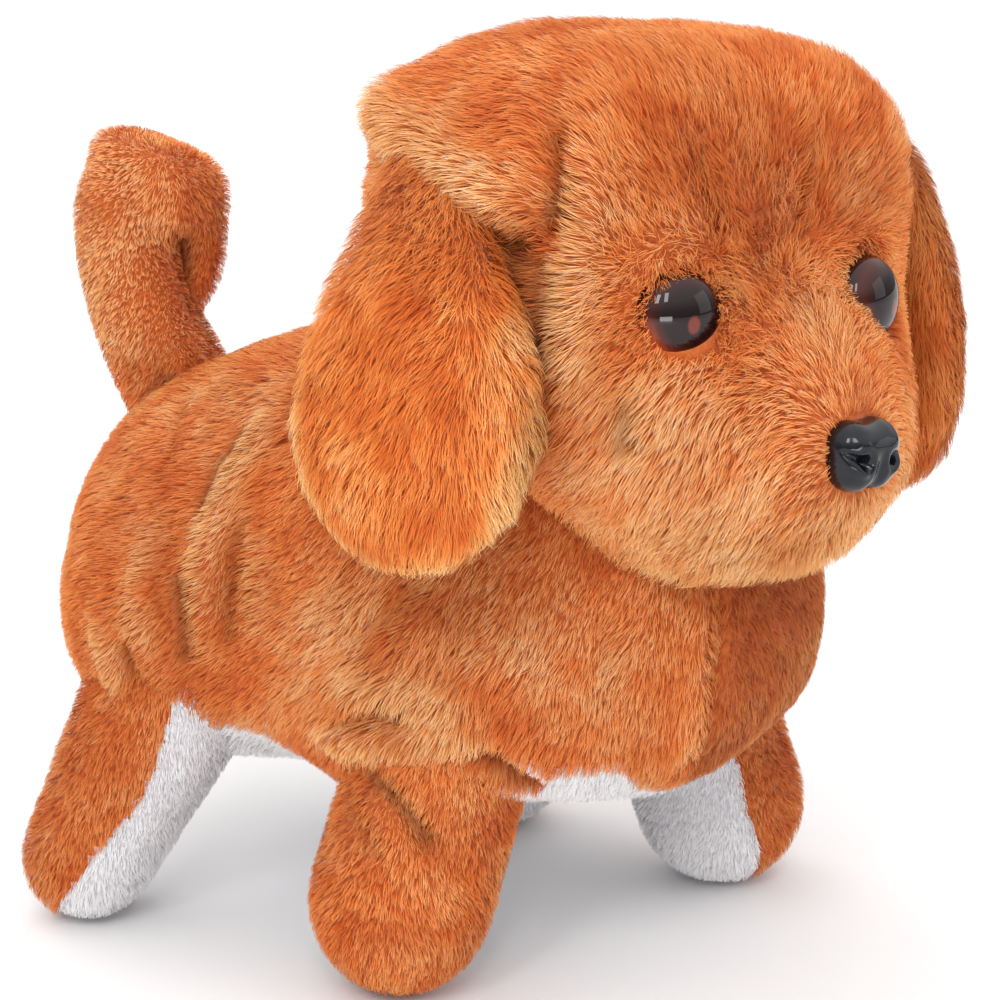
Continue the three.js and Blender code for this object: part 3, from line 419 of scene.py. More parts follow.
def puff(o, mm, pins, cap, pressure=4.0, shrink=-0.02, frames=18):
    """Stuffs a closed skin: remeshed cloth blown up from inside, held still where it is sewn."""
    remesh(o, mm)
    V0, _ = arrays(o)
    held = np.zeros(len(V0))
    for line, w in pins:
        d, _, _ = line_distance(V0, line)
        held = np.maximum(held, 1 - smooth(d, w * 0.5, w))
    g = o.vertex_groups.new(name="held")
    for i in np.where(held > 0.02)[0]:
        g.add([int(i)], float(held[i]), "REPLACE")
    c = o.modifiers.new("c", "CLOTH")
    s = c.settings
    s.quality = 5
    s.mass = 0.3
    s.use_pressure = True
    s.uniform_pressure_force = pressure
    s.tension_stiffness = s.compression_stiffness = 12
    s.shear_stiffness = 5
    s.bending_stiffness = 0.4
    s.shrink_min = shrink
    s.effector_weights.gravity = 0
    s.vertex_group_mass = "held"
    c.collision_settings.use_collision = False
    c.point_cache.frame_start, c.point_cache.frame_end = 1, frames
    sc = C.scene
    for f in range(1, frames + 1):
        sc.frame_set(f)
    modify(o)
    sc.frame_set(1)
    V1, _ = arrays(o)
    d = V1 - V0
    L = np.linalg.norm(d, axis=1, keepdims=True)
    V1 = V0 + d * np.minimum(1, cap / np.maximum(L, 1e-6))
    set_verts(o, V1)
    subdivide(o)
    o.data.polygons.foreach_set("use_smooth", np.ones(len(o.data.polygons), bool))
    return o

# ---------------------------------------------------------------------------------------------
# fur: each fibre is a thin tapering ribbon of three faces
SEG = np.array([0.0, 0.36, 0.72, 1.0])

def scatter(V, F, density, seed, keep=None):
    """Points on a surface, density per square millimetre."""
    rng = np.random.default_rng(seed)
    e = np.cross(V[F[:, 1]] - V[F[:, 0]], V[F[:, 2]] - V[F[:, 0]])
    area = np.linalg.norm(e, axis=1) / 2
    mid = V[F].mean(1)
    w = area * (density(mid) if callable(density) else density)
    n = int(w.sum())
    pick = rng.choice(len(F), n, p=w / w.sum())
    r1, r2 = np.sqrt(rng.random(n)), rng.random(n)
    a, b, c = 1 - r1, r1 * (1 - r2), r1 * r2
    N = normals(V, F)
    P = V[F[pick, 0]] * a[:, None] + V[F[pick, 1]] * b[:, None] + V[F[pick, 2]] * c[:, None]
    M = unit(N[F[pick, 0]] * a[:, None] + N[F[pick, 1]] * b[:, None] + N[F[pick, 2]] * c[:, None])
    if keep is not None:
        k = keep(P, M)
        P, M = P[k], M[k]
    return P, M, rng

MOST = 38000  # fibres in one piece
def fur(name, V, F, density, length, flow, seed, mat, keep=None, lean=0.62, width=0.14, tuft=1.2, pull=0.36, shade=None, curl=0.35, tone=None, wave=7.0, group=16, order=1):
    """density: fibres per mm2. length(P), flow(P, N): direction the pile lies in. lean: 0 upright, 1 flat."""
    P, N, rng = scatter(V, F, density, seed, keep)
    n = len(P)
    L = length(P) if callable(length) else np.full(n, float(length))
    L = L * rng.uniform(0.72, 1.12, n) * (1 + 0.12 * noise(P, 9.0, seed + 3))
    T = flow(P, N)
    T = T + 0.35 * noise3(P, wave, seed + 11) + 0.16 * rng.normal(size=(n, 3))
    T = T - (T * N).sum(1)[:, None] * N
    T = unit(T)
    ln = lean(P, N) if callable(lean) else np.full(n, float(lean))
    ln = np.clip(ln + 0.16 * noise(P, 5.0, seed + 5) + rng.normal(0, 0.07, n), 0.05, 0.97)
    up, side = np.sqrt(1 - ln ** 2), ln
    # tips of one tuft lean together
    m = max(8, int(n / group))
    heads = P[rng.choice(n, m, replace=False)]
    tree = KDTree(m)
    for i, h in enumerate(heads):
        tree.insert(h, i)
    tree.balance()
    own = np.array([tree.find(p)[1] for p in P])
    W = np.cross(N, T)
    bend = rng.normal(0, curl, n)
    def place(s):
        # rises first, then lies over along the flow
        h = L * (s * (1 - s * 0.5) * 1.25) * up
        g = L * (0.45 * s + 0.55 * s * s) * side
        return P + N * h[:, None] + T * g[:, None] + W * (bend * L * 0.22 * s * s)[:, None]
    tip = place(1.0)
    cx = np.zeros((m, 3))
    cnt = np.bincount(own, minlength=m)[:, None]
    np.add.at(cx, own, tip)
    cx /= np.maximum(cnt, 1)
    gap = cx[own] - tip
    gl = np.linalg.norm(gap, axis=1, keepdims=True)
    gap *= np.minimum(1, tuft / np.maximum(gl, 1e-6))
    rib = []
    for s in SEG:
        rib.append(place(s) + gap * (pull * s ** 1.6))
    rib = np.stack(rib, 1)  # n, 4, 3
    d = unit(np.gradient(rib, axis=1))
    ang = np.clip(rng.normal(0, 0.55, n), -1.15, 1.15)
    across = np.cross(N[:, None], d)
    across = unit(across)
    upv = unit(np.cross(d, across))
    ca, sa = np.cos(ang)[:, None, None], np.sin(ang)[:, None, None]
    across = across * ca + upv * sa
    w = width * rng.uniform(0.7, 1.3, n)
    prof = np.array([0.8, 1.0, 0.7])
    V0 = rib[:, :3] - across[:, :3] * (w[:, None] * prof / 2)[..., None]
    V1 = rib[:, :3] + across[:, :3] * (w[:, None] * prof / 2)[..., None]
    verts = np.concatenate([V0, V1, rib[:, 3:]], 1)  # 7 per fibre: left 0 1 2, right 3 4 5, tip 6
    verts[..., 2] = np.maximum(verts[..., 2], 0.15)
    m2 = max(6, int(n / 140))
    tree2 = KDTree(m2)
    for i, h in enumerate(P[rng.choice(n, m2, replace=False)]):
        tree2.insert(h, i)
    tree2.balance()
    big = np.array([tree2.find(p)[1] for p in P])
    # tone carries the given tone, painted highlight on ridges among it; shade carries the given shade, painted shade
    # among it
    tn = np.clip(0.40 + 0.09 * rng.normal(size=n) + rng.normal(0, 0.05, m)[own] + rng.normal(0, 0.075, m2)[big] + 0.1 * noise(P, 3.0, seed + 21) + (1.6 * tone(P) if tone else 0), 0, 1)
    sh = np.clip(shade(P), 0, 1) if shade else np.zeros(n)
    # light falls on the pile as on a soft surface: normals between the skin's and the fibre's own
    side_on = unit(N[:, None] - (N[:, None] * d).sum(-1, keepdims=True) * d)
    nn = unit(side_on * 0.42 + N[:, None] * 0.58 + 0.10 * rng.normal(size=(n, 1, 3)))
    nv = np.concatenate([nn[:, :3], nn[:, :3], nn[:, 3:]], 1)
    parts = max(1, int(math.ceil(n / MOST)))
    rank = np.argsort(P[:, order], kind="stable")
    made = []
    for k in range(parts):
        i = rank[k * n // parts:(k + 1) * n // parts]
        made.append(fibres(name if parts == 1 else f"{name}_{k + 1}", verts[i], nv[i], tn[i], sh[i], mat))
    COUNT[name] = n
    return made

COUNT = {}
def fibres(name, verts, nv, tn, sh, mat):
    n = len(verts)
    base = (np.arange(n) * 7)[:, None]
    loops = (base + np.array([0, 1, 4, 3, 1, 2, 5, 4, 2, 6, 5])).ravel()
    starts = ((np.arange(n) * 11)[:, None] + np.array([0, 4, 8])).ravel()
    me = D.meshes.new(name)
    me.vertices.add(n * 7)
    me.vertices.foreach_set("co", out(verts.reshape(-1, 3)).astype(np.float32).ravel())
    me.loops.add(len(loops))
    me.loops.foreach_set("vertex_index", loops.astype(np.int32))
    me.polygons.add(len(starts))
    me.polygons.foreach_set("loop_start", starts.astype(np.int32))
    me.polygons.foreach_set("use_smooth", np.ones(len(starts), bool))
    al = np.tile(np.array([0, 0.36, 0.72, 0, 0.36, 0.72, 1.0]), n)
    for key, val in (("along", al), ("tone", np.repeat(tn, 7)), ("shade", np.repeat(sh, 7))):
        me.attributes.new(key, "FLOAT", "POINT").data.foreach_set("value", val.astype(np.float32))
    # each fibre has its own small cell, so that a baked colour has room
    uv = me.uv_layers.new(name="OFBake")
    grid = int(math.ceil(math.sqrt(n)))
    gx, gy = (np.arange(n) % grid) / grid, (np.arange(n) // grid) / grid
    lu = np.array([0.2, 0.2, 0.8, 0.8, 0.2, 0.2, 0.8, 0.8, 0.2, 0.5, 0.8])
    lv = np.array([0.1, 0.4, 0.4, 0.1, 0.4, 0.7, 0.7, 0.4, 0.7, 0.95, 0.7])
    uvs = np.stack([(gx[:, None] + lu / grid).ravel(), (gy[:, None] + lv / grid).ravel()], 1)
    uv.data.foreach_set("uv", uvs.astype(np.float32).ravel())
    me.update(calc_edges=True)
    me.normals_split_custom_set_from_vertices(nv.reshape(-1, 3).astype(np.float32).tolist())
    me.materials.append(mat)
    return link(D.objects.new(name, me))

def ride_all(objs, body):
    for o in objs:
        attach(o, body)

# ---------------------------------------------------------------------------------------------
# creases and folds of the sewn skin: (points, width mm, depth mm inward, how dark, how pale); how dark is painted
# shade in the crease, how pale is painted highlight on the ridge
TORSO_FOLDS = [
    ([(-30.1, 12.3, 107.3), (-34.2, 13.7, 102.6), (-36.8, 16.1, 98), (-39.4, 18.2, 92.9), (-41.6, 19.7, 88.1), (-45.4, 20, 80.3), (-49.5, 19.3, 70.3)], 2.8, -1.9, 0, 0.55),
    ([(-41, 8, 87.3), (-43.3, 8.5, 78.2), (-45.4, 7.4, 66.2)], 2.6, -1.3, 0, 0.42),
    ([(-52.1, 40.7, 67.5), (-53.1, 38.5, 57.5), (-47.6, 38.6, 46)], 2.8, -1.6, 0, 0.5),
    ([(-47, 31, 90), (-51, 32, 76), (-52.5, 30, 62)], 2.8, -1.1, 0, 0.3),
    ([(-47.5, 23.5, 79), (-49, 22.5, 74.4), (-50.5, 21.8, 66.6), (-50.1, 20, 57.5)], 2.4, 1.9, 0.75, 0),
    ([(-31.5, 17.5, 106), (-34.5, 18.6, 101), (-38.4, 21.3, 94.5), (-42, 24, 86)], 2.4, 1.7, 0.65, 0),
    ([(-41.5, 13.5, 90), (-44, 14, 83), (-46.5, 13.5, 72), (-47.5, 12.5, 63)], 2.5, 1.5, 0.55, 0),
    ([(-52, 35.5, 64), (-52, 33.8, 56), (-51.3, 32, 50)], 2.4, 1.8, 0.7, 0),
    ([(-44, 30, 94), (-48.5, 28.5, 84), (-51, 27, 72), (-51.5, 26, 60)], 4.0, 0.8, 0.3, 0),
    ([(-38, 44, 94), (-46, 46, 80), (-50, 46, 66)], 4.5, 0.8, 0.26, 0),
    ([(-46, -14, 56), (-49.5, -17.6, 57), (-51.6, -23.2, 59.4), (-51.8, -29.5, 58.6)], 1.8, 3.6, 1.0, 0),
    ([(-44, -9, 53), (-50, -18, 53), (-52, -26, 54.5), (-50.5, -35, 56), (-47, -43, 57.5)], 2.6, -1.6, 0, 0.5),
    ([(-44, -16, 62), (-49, -22, 64), (-50.5, -32, 64), (-47, -42, 62)], 2.6, -1.0, 0, 0.4),
    ([(-47.3, -40, 54), (-46.3, -43, 53.4), (-40.8, -45.9, 48.3), (-34, -48, 43)], 2.4, 2.8, 0.85, 0),
    ([(-20, -75, 97), (-21.5, -77, 88), (-22.6, -77.8, 76), (-22.4, -76.2, 64.2), (-18.5, -71, 54), (-14, -66, 46)], 1.3, 3.4, 1.0, 0),
    ([(-23.5, -76, 95), (-25.6, -75.6, 86), (-26.6, -75.6, 75), (-26.2, -74, 64), (-22.5, -69.5, 53)], 2.0, -0.8, 0, 0.2),
    ([(-38, -62, 84), (-36, -62, 72), (-36.5, -60, 60)], 3, 1.0, 0.24, 0),
    ([(-44, -30, 86), (-47, -24, 78), (-49.5, -14, 70)], 3, 0.9, 0.22, 0),
    ([(-20, 40, 108), (-34, 36, 101), (-43, 36, 92)], 3, 1.0, 0.27, 0),
]
# the head's folds: the dark ones are painted shade in the hollow under the ear root and in the creases, the pale ones
# painted highlight on the ridges
HEAD_FOLDS = [  # in the head's own frame
    ([(-36, 34, 36), (-43, 26, 32.5), (-47, 15, 29), (-49, 6.4, 27.5), (-49.5, -2, 24.5), (-48.8, -8, 22.2), (-47.2, -14, 21)], 4.4, -4.9, 0, 0.5),
    ([(-48, 1, 13.5), (-48.6, -7, 12.5), (-47.7, -13.2, 13.2), (-46.3, -17.8, 14.8)], 4.4, 4.2, 1.0, 0),
    ([(-48.5, -12, 12), (-47.5, -13.5, 2), (-46, -13, -8), (-44, -12, -20)], 4.5, 3.0, 0.85, 0),
    ([(-42.2, -18, 37), (-43.6, -21, 28), (-44.4, -21.6, 20), (-44.8, -20.5, 15)], 2.6, 3.2, 0.8, 0),
    ([(-44.8, -20.5, 15), (-45, -20, 4), (-45.5, -17, -8), (-44, -16, -22)], 3.2, 2.0, 0.7, 0),
    ([(-38.5, -23, 35), (-40.5, -26, 26), (-40.8, -26.5, 16), (-41.5, -25.5, 4), (-42, -24, -8)], 3, -1.2, 0, 0.36),
    ([(-33, -31.5, -8), (-34.5, -31, -14), (-34.5, -30.5, -20)], 2.4, 1.6, 0.6, 0),
    ([(-14, -36, 16), (-18, -34.5, 24), (-19, -30, 33)], 3, 1.2, 0.4, 0),
    ([(2, -37, 12), (4, -36.5, 22), (6, -32, 33)], 3, 1.2, 0.42, 0),
    ([(-24, -37, 12), (-16, -40, 11), (-10, -41, 6)], 2.4, 0.8, 0.35, 0),
]

def fold_push(V, folds):
    push = np.zeros(len(V))
    for line, w, depth, _, _ in folds:
        d, _, t = line_distance(V, line)
        end = smooth(t, 0.0, 0.14) * (1 - smooth(t, 0.86, 1.0))
        push -= depth * np.exp(-(d / w) ** 2) * (0.3 + 0.7 * end)
    return push

def fold_shade_and_highlight(P, folds):
    """How much painted shade (darker, in the creases) and painted highlight (paler, on the ridges) the pile gets
    along the folds.
    """
    s, p = np.zeros(len(P)), np.zeros(len(P))
    for line, w, _, dark, pale in folds:
        d, _, t = line_distance(P, line)
        end = 0.3 + 0.7 * smooth(t, 0.0, 0.15) * (1 - smooth(t, 0.85, 1.0))
        s = np.maximum(s, dark * np.exp(-(d / (w * 1.15)) ** 2) * end)
        p = np.maximum(p, pale * np.exp(-(d / (w * 1.1)) ** 2) * end)
    return s, p

def patches(P, spots):
    """Soft paler and darker patches, (middle, radius, paler, darker): in the colour partly the pile's own tone,
    partly painted highlight and painted shade.
    """
    t, s = np.zeros(len(P)), np.zeros(len(P))
    for c, r, pale, dark in spots:
        w = np.exp(-(np.linalg.norm(P - np.array(c, float), axis=1) / r) ** 2)
        t += pale * w
        s += dark * w
    return t, s

def crease(o, folds, frame_in=None):
    """Presses the folds into a skin; gives them back lying on it, for the painted shade and highlight in the pile's
    colour.
    """
    V, F = arrays(o)
    N = normals(V, F)
    q = frame_in(V) if frame_in else V
    tree = KDTree(len(q))
    for i, p in enumerate(q):
        tree.insert(p, i)
    tree.balance()
    laid = []
    for line, *rest in folds:
        L = np.array(line, float)
        pts = np.concatenate([L[i] + np.linspace(0, 1, 4)[:-1, None] * (L[i + 1] - L[i]) for i in range(len(L) - 1)] + [L[-1:]])
        pts = np.array([q[tree.find(p)[1]] for p in pts])
        pts[1:-1] = (pts[:-2] + 2 * pts[1:-1] + pts[2:]) / 4
        laid.append((pts.tolist(), *rest))
    push = fold_push(q, laid)
    set_verts(o, V + N * push[:, None])
    # where the skin went, the folds' lines go too
    after = []
    for line, w, depth, dark, pale in laid:
        pts = np.array(line)
        idx = [tree.find(p)[1] for p in pts]
        V2 = V + N * push[:, None]
        q2 = frame_in(V2[idx]) if frame_in else V2[idx]
        after.append((q2.tolist(), w, depth, dark, pale))
    return after

def paint_white(o, where):
    """The white panels have white backing cloth too."""
    me = o.data
    me.materials.append(BACKING_WHITE)
    n = len(me.polygons)
    c, nn = np.empty(n * 3), np.empty(n * 3)
    me.polygons.foreach_get("center", c)
    me.polygons.foreach_get("normal", nn)
    w = where(c.reshape(-1, 3) * 1000 - STAND_AT, nn.reshape(-1, 3))
    me.polygons.foreach_set("material_index", (w > 0).astype(np.int32))
    me.update()

# ---------------------------------------------------------------------------------------------
# skins
SKIN = 2.6  # the sewn skin lies this far under the tips of the pile

def skin(name, V, F, mm, pins, cap, mat):
    o = mesh_object(name, V, F, mat)
    puff(o, mm, pins, cap)
    o.data.materials.clear()
    o.data.materials.append(mat)
    return o

def ring(c, axis, r, n=24):
    a = unit(np.array(axis, float))
    u = unit(np.cross(a, [0.3, 0.2, 1.0]))
    v = np.cross(a, u)
    t = np.linspace(0, 2 * np.pi, n + 1)
    return np.array(c) + r * (np.cos(t)[:, None] * u + np.sin(t)[:, None] * v)

V, F = star(torso_field, (0, 0, 72), 6, -SKIN - 0.2)
torso = skin("torso_skin", V, F, 4.5, [(ring((0, -34, 104), (0, 0, 1), 26), 6), (ring((0, 56, 92), (0, 0.5, 1), 13), 5)], 2.0, BACKING)
subdivide(torso)
TORSO_FOLDS = crease(torso, TORSO_FOLDS)
def belly_white(P, N):
    """The underside between the legs is white pile."""
    return (P[:, 2] < 52) & (N[:, 2] < -0.62 + 0.04 * noise(P, 7.0, 9)) & (np.abs(P[:, 0]) < 40) & (P[:, 1] > -62) & (P[:, 1] < 60)
paint_white(torso, belly_white)
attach(torso, "body")

def face_inset(q):
    """How far the skin lies under the tips: thin round the eyes and nose, where the pile is clipped."""
    g = np.full(len(q), SKIN + 0.9)
    for c in EYES.values():
        g -= 1.6 * np.exp(-(np.linalg.norm(q - np.array(c), axis=1) / 10.5) ** 4)
    g -= 3.0 * np.exp(-(np.linalg.norm(q - np.array([NOSE[0], NOSE[1] + 4, NOSE[2]]), axis=1) / 13) ** 4)
    return g
V, F = star(lambda P: field(P, HEAD, 14.0) + face_inset(P), (0, 0, 0), 6, 0.0)
V = head_to_world(V)
e_l = [head_to_world([[c[0], c[1] + 3, c[2] - 2], [c[0], c[1] + 3, c[2] + 2]]) for c in EYES.values()]
head = skin("head_skin", V, F, 4.5, [(l, 10) for l in e_l], 2.0, BACKING)
subdivide(head)
HEAD_FOLDS = crease(head, HEAD_FOLDS, world_to_head)
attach(head, "head")

# the white panel runs down the inner side of each leg, between two seams given as angles round the leg
WHITE_FROM = {"front_right": [(60, -40), (0, -40)], "front_left": [(60, -49), (0, -49)], "rear_right": [(58, -150), (30, -134), (4, -158)], "rear_left": [(58, -150), (30, -134), (4, -150)]}
def white_on(name):
    a, b = np.array(LEG[name][0], float), np.array(LEG[name][1], float)
    side = -1 if "right" in name else 1
    zs, an = zip(*sorted(WHITE_FROM[name]))
    def g(P):
        t = (a[2] - P[:, 2]) / (a[2] - b[2])
        d = P - (a + t[:, None] * (b - a))
        ang = np.degrees(np.arctan2(d[:, 1], -side * d[:, 0]))
        start = np.interp(P[:, 2], zs, an) + 3.0 * noise(P, 6.0, 5)
        return np.minimum(ang - start, 95 - ang)
    return g
WHITE_ON = {k: white_on(k) for k in LEG}

# the front right leg's folds: painted shade in the creases, painted highlight on the ridge
LEG_FOLDS = [([(-52, -16, 49), (-53.4, -20.9, 47.5), (-54.4, -28, 41.7), (-51.2, -35.4, 34)], 2.6, 2.4, 0.75, 0), ([(-46, -16, 42), (-52, -19, 38), (-55, -24, 33)], 3.0, 1.2, 0.35, 0), ([(-52, -20, 43), (-54, -27, 37), (-51, -34, 30)], 2.6, -0.9, 0, 0.3)]
legs = {}
for name, (a, b, ra, rb) in LEG.items():
    g = SKIN - 0.4 if "front" in name else SKIN - 0.7
    prims = [("c", a, b, ra, rb)]
    mid = (np.array(a) + np.array(b)) / 2
    wh = WHITE_ON[name]
    V, F = star(lambda P: prim(P, prims[0]) + g + 0.5 - 1.0 * smooth(wh(P), -6, 10) * (P[:, 2] < 52), mid, 5, 0.0)
    V[:, 2] = np.maximum(V[:, 2], 2.2)  # the sole
    o = skin(name + "_leg_skin", V, F, 4.0, [(ring(a, np.array(b) - np.array(a), ra), 5)], 1.5, BACKING)
    if name == "front_right":
        LEG_FOLDS = crease(o, LEG_FOLDS)
    paint_white(o, lambda P, N, wh=wh: wh(P))
    legs[name] = o

# ears: two layers of plush sewn round the edge, hanging from the top of the head
FAR_TOP = [(1, 13, 6, 0, 1), (8, 18, 8.5, 0, 3.5), (18, 20, 9.5, 0.5, 7), (30, 23, 9.8, 1, 10.5), (44, 24.5, 9.8, 1, 12.5)]
def ear_surface(side, grow, rings=40, sides=40):
    r = np.array(EAR_RINGS if side < 0 else FAR_TOP + EAR_RINGS[5:], float)
    q = np.linspace(0, len(r) - 1, rings)
    i = np.arange(len(r))
    # smooth through the rings
    def cat(col):
        out_ = []
        for x in q:
            k = min(int(x), len(r) - 2)
            u = x - k
            g = lambda j: r[min(max(j, 0), len(r) - 1), col]
            a, b, c, d = g(k - 1), g(k), g(k + 1), g(k + 2)
            out_.append(0.5 * (2 * b + (c - a) * u + (2 * a - 5 * b + 4 * c - d) * u * u + (3 * b - a - 3 * c + d) * u ** 3))
        return np.array(out_)
    d, hw, ht, cw, cn = [cat(c) for c in range(5)]
    hw, ht = np.maximum(hw + grow, 1.5), np.maximum(ht + grow * 0.75, 1.0)
    d = np.interp(np.linspace(0, 1, rings), [0, 1], [d[0] - grow * 0.5, d[-1] + grow])
    dd = cat(0)
    dd = (dd - dd[0]) / (dd[-1] - dd[0])
    d = (EAR_RINGS[0][0] - grow * 0.5) + dd * ((EAR_RINGS[-1][0] + grow) - (EAR_RINGS[0][0] - grow * 0.5))
    ew = np.array([math.sin(EAR_TILT), math.cos(EAR_TILT), 0])
    en = np.array([math.cos(EAR_TILT), -math.sin(EAR_TILT), 0])
    top = np.array(EAR_TOP, float)
    V = []
    th = np.linspace(0, 2 * np.pi, sides, endpoint=False)
    for k in range(rings):
        c = top + np.array([0, 0, -d[k]]) + ew * cw[k] + en * cn[k]
        for t in th:
            V.append(c + ew * hw[k] * math.cos(t) + en * ht[k] * math.sin(t))
    n = len(V)
    V.append(top + np.array([0, 0, -(d[0] - 1)]) + ew * cw[0] + en * cn[0])
    V.append(top + np.array([0, 0, -(d[-1] + 0.8)]) + ew * cw[-1] + en * cn[-1])
    F = []
    for a in range(rings - 1):
        for j in range(sides):
            p, s = a * sides + j, a * sides + (j + 1) % sides
            F += [(p, s, s + sides), (p, s + sides, p + sides)]
    for j in range(sides):
        F += [(n, (j + 1) % sides, j), (n + 1, (rings - 1) * sides + j, (rings - 1) * sides + (j + 1) % sides)]
    V, F = np.array(V), np.array(F)
    if side < 0:
        V = V * np.array([-1, 1, 1])
        F = F[:, ::-1]
    e = (V[F[:, 0]] * np.cross(V[F[:, 1]], V[F[:, 2]])).sum()
    if e < 0:
        F = F[:, ::-1]
    return head_to_world(V), F

ears = {}
for name, side in (("right", -1), ("left", 1)):
    V, F = ear_surface(side, -SKIN)
    t0 = head_to_world([[side * 44, -8, 34], [side * 47, -1, 34], [side * 48, 8, 34]])
    o = skin("ear_" + name + "_skin", V, F, 3.5, [(t0, 8)], 1.5, BACKING)
    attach(o, "ear_" + name)
    ears[name] = o

def lump(c, r, n, lean=None):
    """A rounded block with half sizes r, leaned over by lean(V)."""
    d, tri = ico(4)
    V = d * ((np.abs(d) ** n).sum(1) ** (-1 / n))[:, None] * np.array(r, float) + np.array(c, float)
    return (V + lean(V) if lean else V), tri

def together(*parts):
    n, VV, FF = 0, [], []
    for V, F in parts:
        if (V[F[:, 0]] * np.cross(V[F[:, 1]], V[F[:, 2]])).sum() < 0:
            F = F[:, ::-1]
        VV.append(V)
        FF.append(F + n)
        n += len(V)
    return np.vstack(VV), np.vstack(FF)

stem_r = np.array([13, 12.6, 11.8, 11, 9.5]) - SKIN + 0.3
stem = sweep(TAIL_LINE[:3] + [(-1.5, 70.6, 134), (-1, 70.3, 142)], stem_r, stem_r, (1, 0, 0), 40, 24)[:2]
fold_top = lump((4.5, 66.3, 141), (9.5, 11.8, 8.2), 4, lambda V: np.stack([0 * V[:, 0], 0 * V[:, 0], -0.28 * (0.5 * V[:, 0] - 0.866 * V[:, 1] + 57.3)], 1))
flap = lump((11, 63.4, 129), (4.6, 7.6, 16), 3, lambda V: np.stack([0 * V[:, 0], 0.16 * (128 - V[:, 2]), 0 * V[:, 0]], 1))
V, F = together(stem, fold_top, flap)
tail = skin("tail_skin", V, F, 2.4, [(ring((0, 56, 94), (0, 0.5, 1), 11), 5)], 1.2, BACKING)
# the tail's folds: painted shade in the crease between stem and flap and in the hollow at the base, painted highlight
# on the ridge along the stem
TAIL_FOLDS = crease(tail, [([(4, 62, 137), (5, 60, 129), (4.5, 57, 119), (3, 54, 110)], 2.2, 2.4, 1.0, 0), ([(-9, 73, 130), (-8, 68, 118), (-9, 62, 106)], 5.0, -0.8, 0, 0.22), ([(-9, 58, 104), (-7, 54, 100)], 3.5, 0.8, 0.7, 0)])
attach(tail, "tail")

for name, o in legs.items():
    a, b, ra, rb = LEG[name]
    out((a[0], a[1], 66)).tolist()
    out((b[0] * 0.5 + a[0] * 0.5, b[1] * 0.4 + a[1] * 0.6, 38)).tolist()
    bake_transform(o)

# ---------------------------------------------------------------------------------------------
# pile
def down_back(P, N):
    return np.tile(np.array([0, 0.55, -1.0]), (len(P), 1))

LEG_PRIM = {k: ("c", *v) for k, v in LEG.items()}

def torso_keep(P, N):
    k = head_field(P) > -9
    for nme in LEG:
        k &= leg_field(P, nme) > -12
    door = (np.abs(P[:, 0]) < 19) & (P[:, 1] > -38.5) & (P[:, 1] < 39.5) & (P[:, 2] < 50)
    return k & ~door

def torso_flow(P, N):
    y = P[:, 1]
    f = np.zeros((len(P), 3))
    front = 1 - smooth(y, -20, 20)
    f[:, 1] = 0.9 - 0.5 * front
    f[:, 2] = -0.75 - 0.25 * front
    return f

V, F = arrays(torso)
# paler on the flank, shoulder and back, darker on the rear flank, the rump and the chest: partly the pile's own tone,
# partly painted highlight and painted shade
BODY_SPOTS = [
    ((-50, -12, 72), 15, 0.20, 0.0), ((-44, -34, 88), 14, 0.10, 0.0), ((-36, -62, 70), 20, 0.10, 0.08), ((-10, -80, 74), 14, -0.05, 0.0),
    ((-50, 26, 66), 18, -0.02, 0.12), ((-40, 44, 88), 18, -0.04, 0.06), ((-20, 30, 108), 20, 0.08, 0.0), ((-48, -30, 64), 9, 0.15, 0.0),
]
# painted shade: the chest front to the right of the seam, turned from the lamps, is darkened and made less pale in
# the pile's colour
def right_of_seam(P):
    u = 0.5 * P[:, 0] - 0.866 * P[:, 1]
    edge = np.interp(P[:, 2], [46, 54, 64, 76, 88, 97], [50.2, 52.2, 54.8, 56.1, 56.0, 55.0])
    return smooth(u - edge, -0.6, 1.6) * smooth(-P[:, 1], 45, 60)
def torso_shade(P):
    s, _ = fold_shade_and_highlight(P, TORSO_FOLDS)
    return np.maximum(s, patches(P, BODY_SPOTS)[1] + 0.36 * right_of_seam(P) + 0.06 * noise(P, 11.0, 44) + 0.11)
def torso_length(P):
    return 4.0 + 2.4 * patches(P, [((-46, -34, 62), 18, 1, 0), ((-50, -14, 66), 14, 0.6, 0), ((-20, 10, 118), 30, 0.5, 0)])[0]
def torso_tone(P):
    return fold_shade_and_highlight(P, TORSO_FOLDS)[1] + patches(P, BODY_SPOTS)[0] + 0.14 * noise(P, 9.0, 45) + 0.09 * noise(P, 4.0, 55) - 0.08 * right_of_seam(P)
ride_all(fur("torso_fur", V, F, 5.5, torso_length, torso_flow, 11, FUR, keep=lambda P, N: torso_keep(P, N) & ~belly_white(P, N), lean=0.62, width=0.13, shade=torso_shade, tone=torso_tone), "body")
ride_all(fur("belly_white_fur", V, F, 4.6, 3.6, torso_flow, 12, WHITE, keep=lambda P, N: torso_keep(P, N) & belly_white(P, N), lean=0.45, tuft=0.6, pull=0.2), "body")

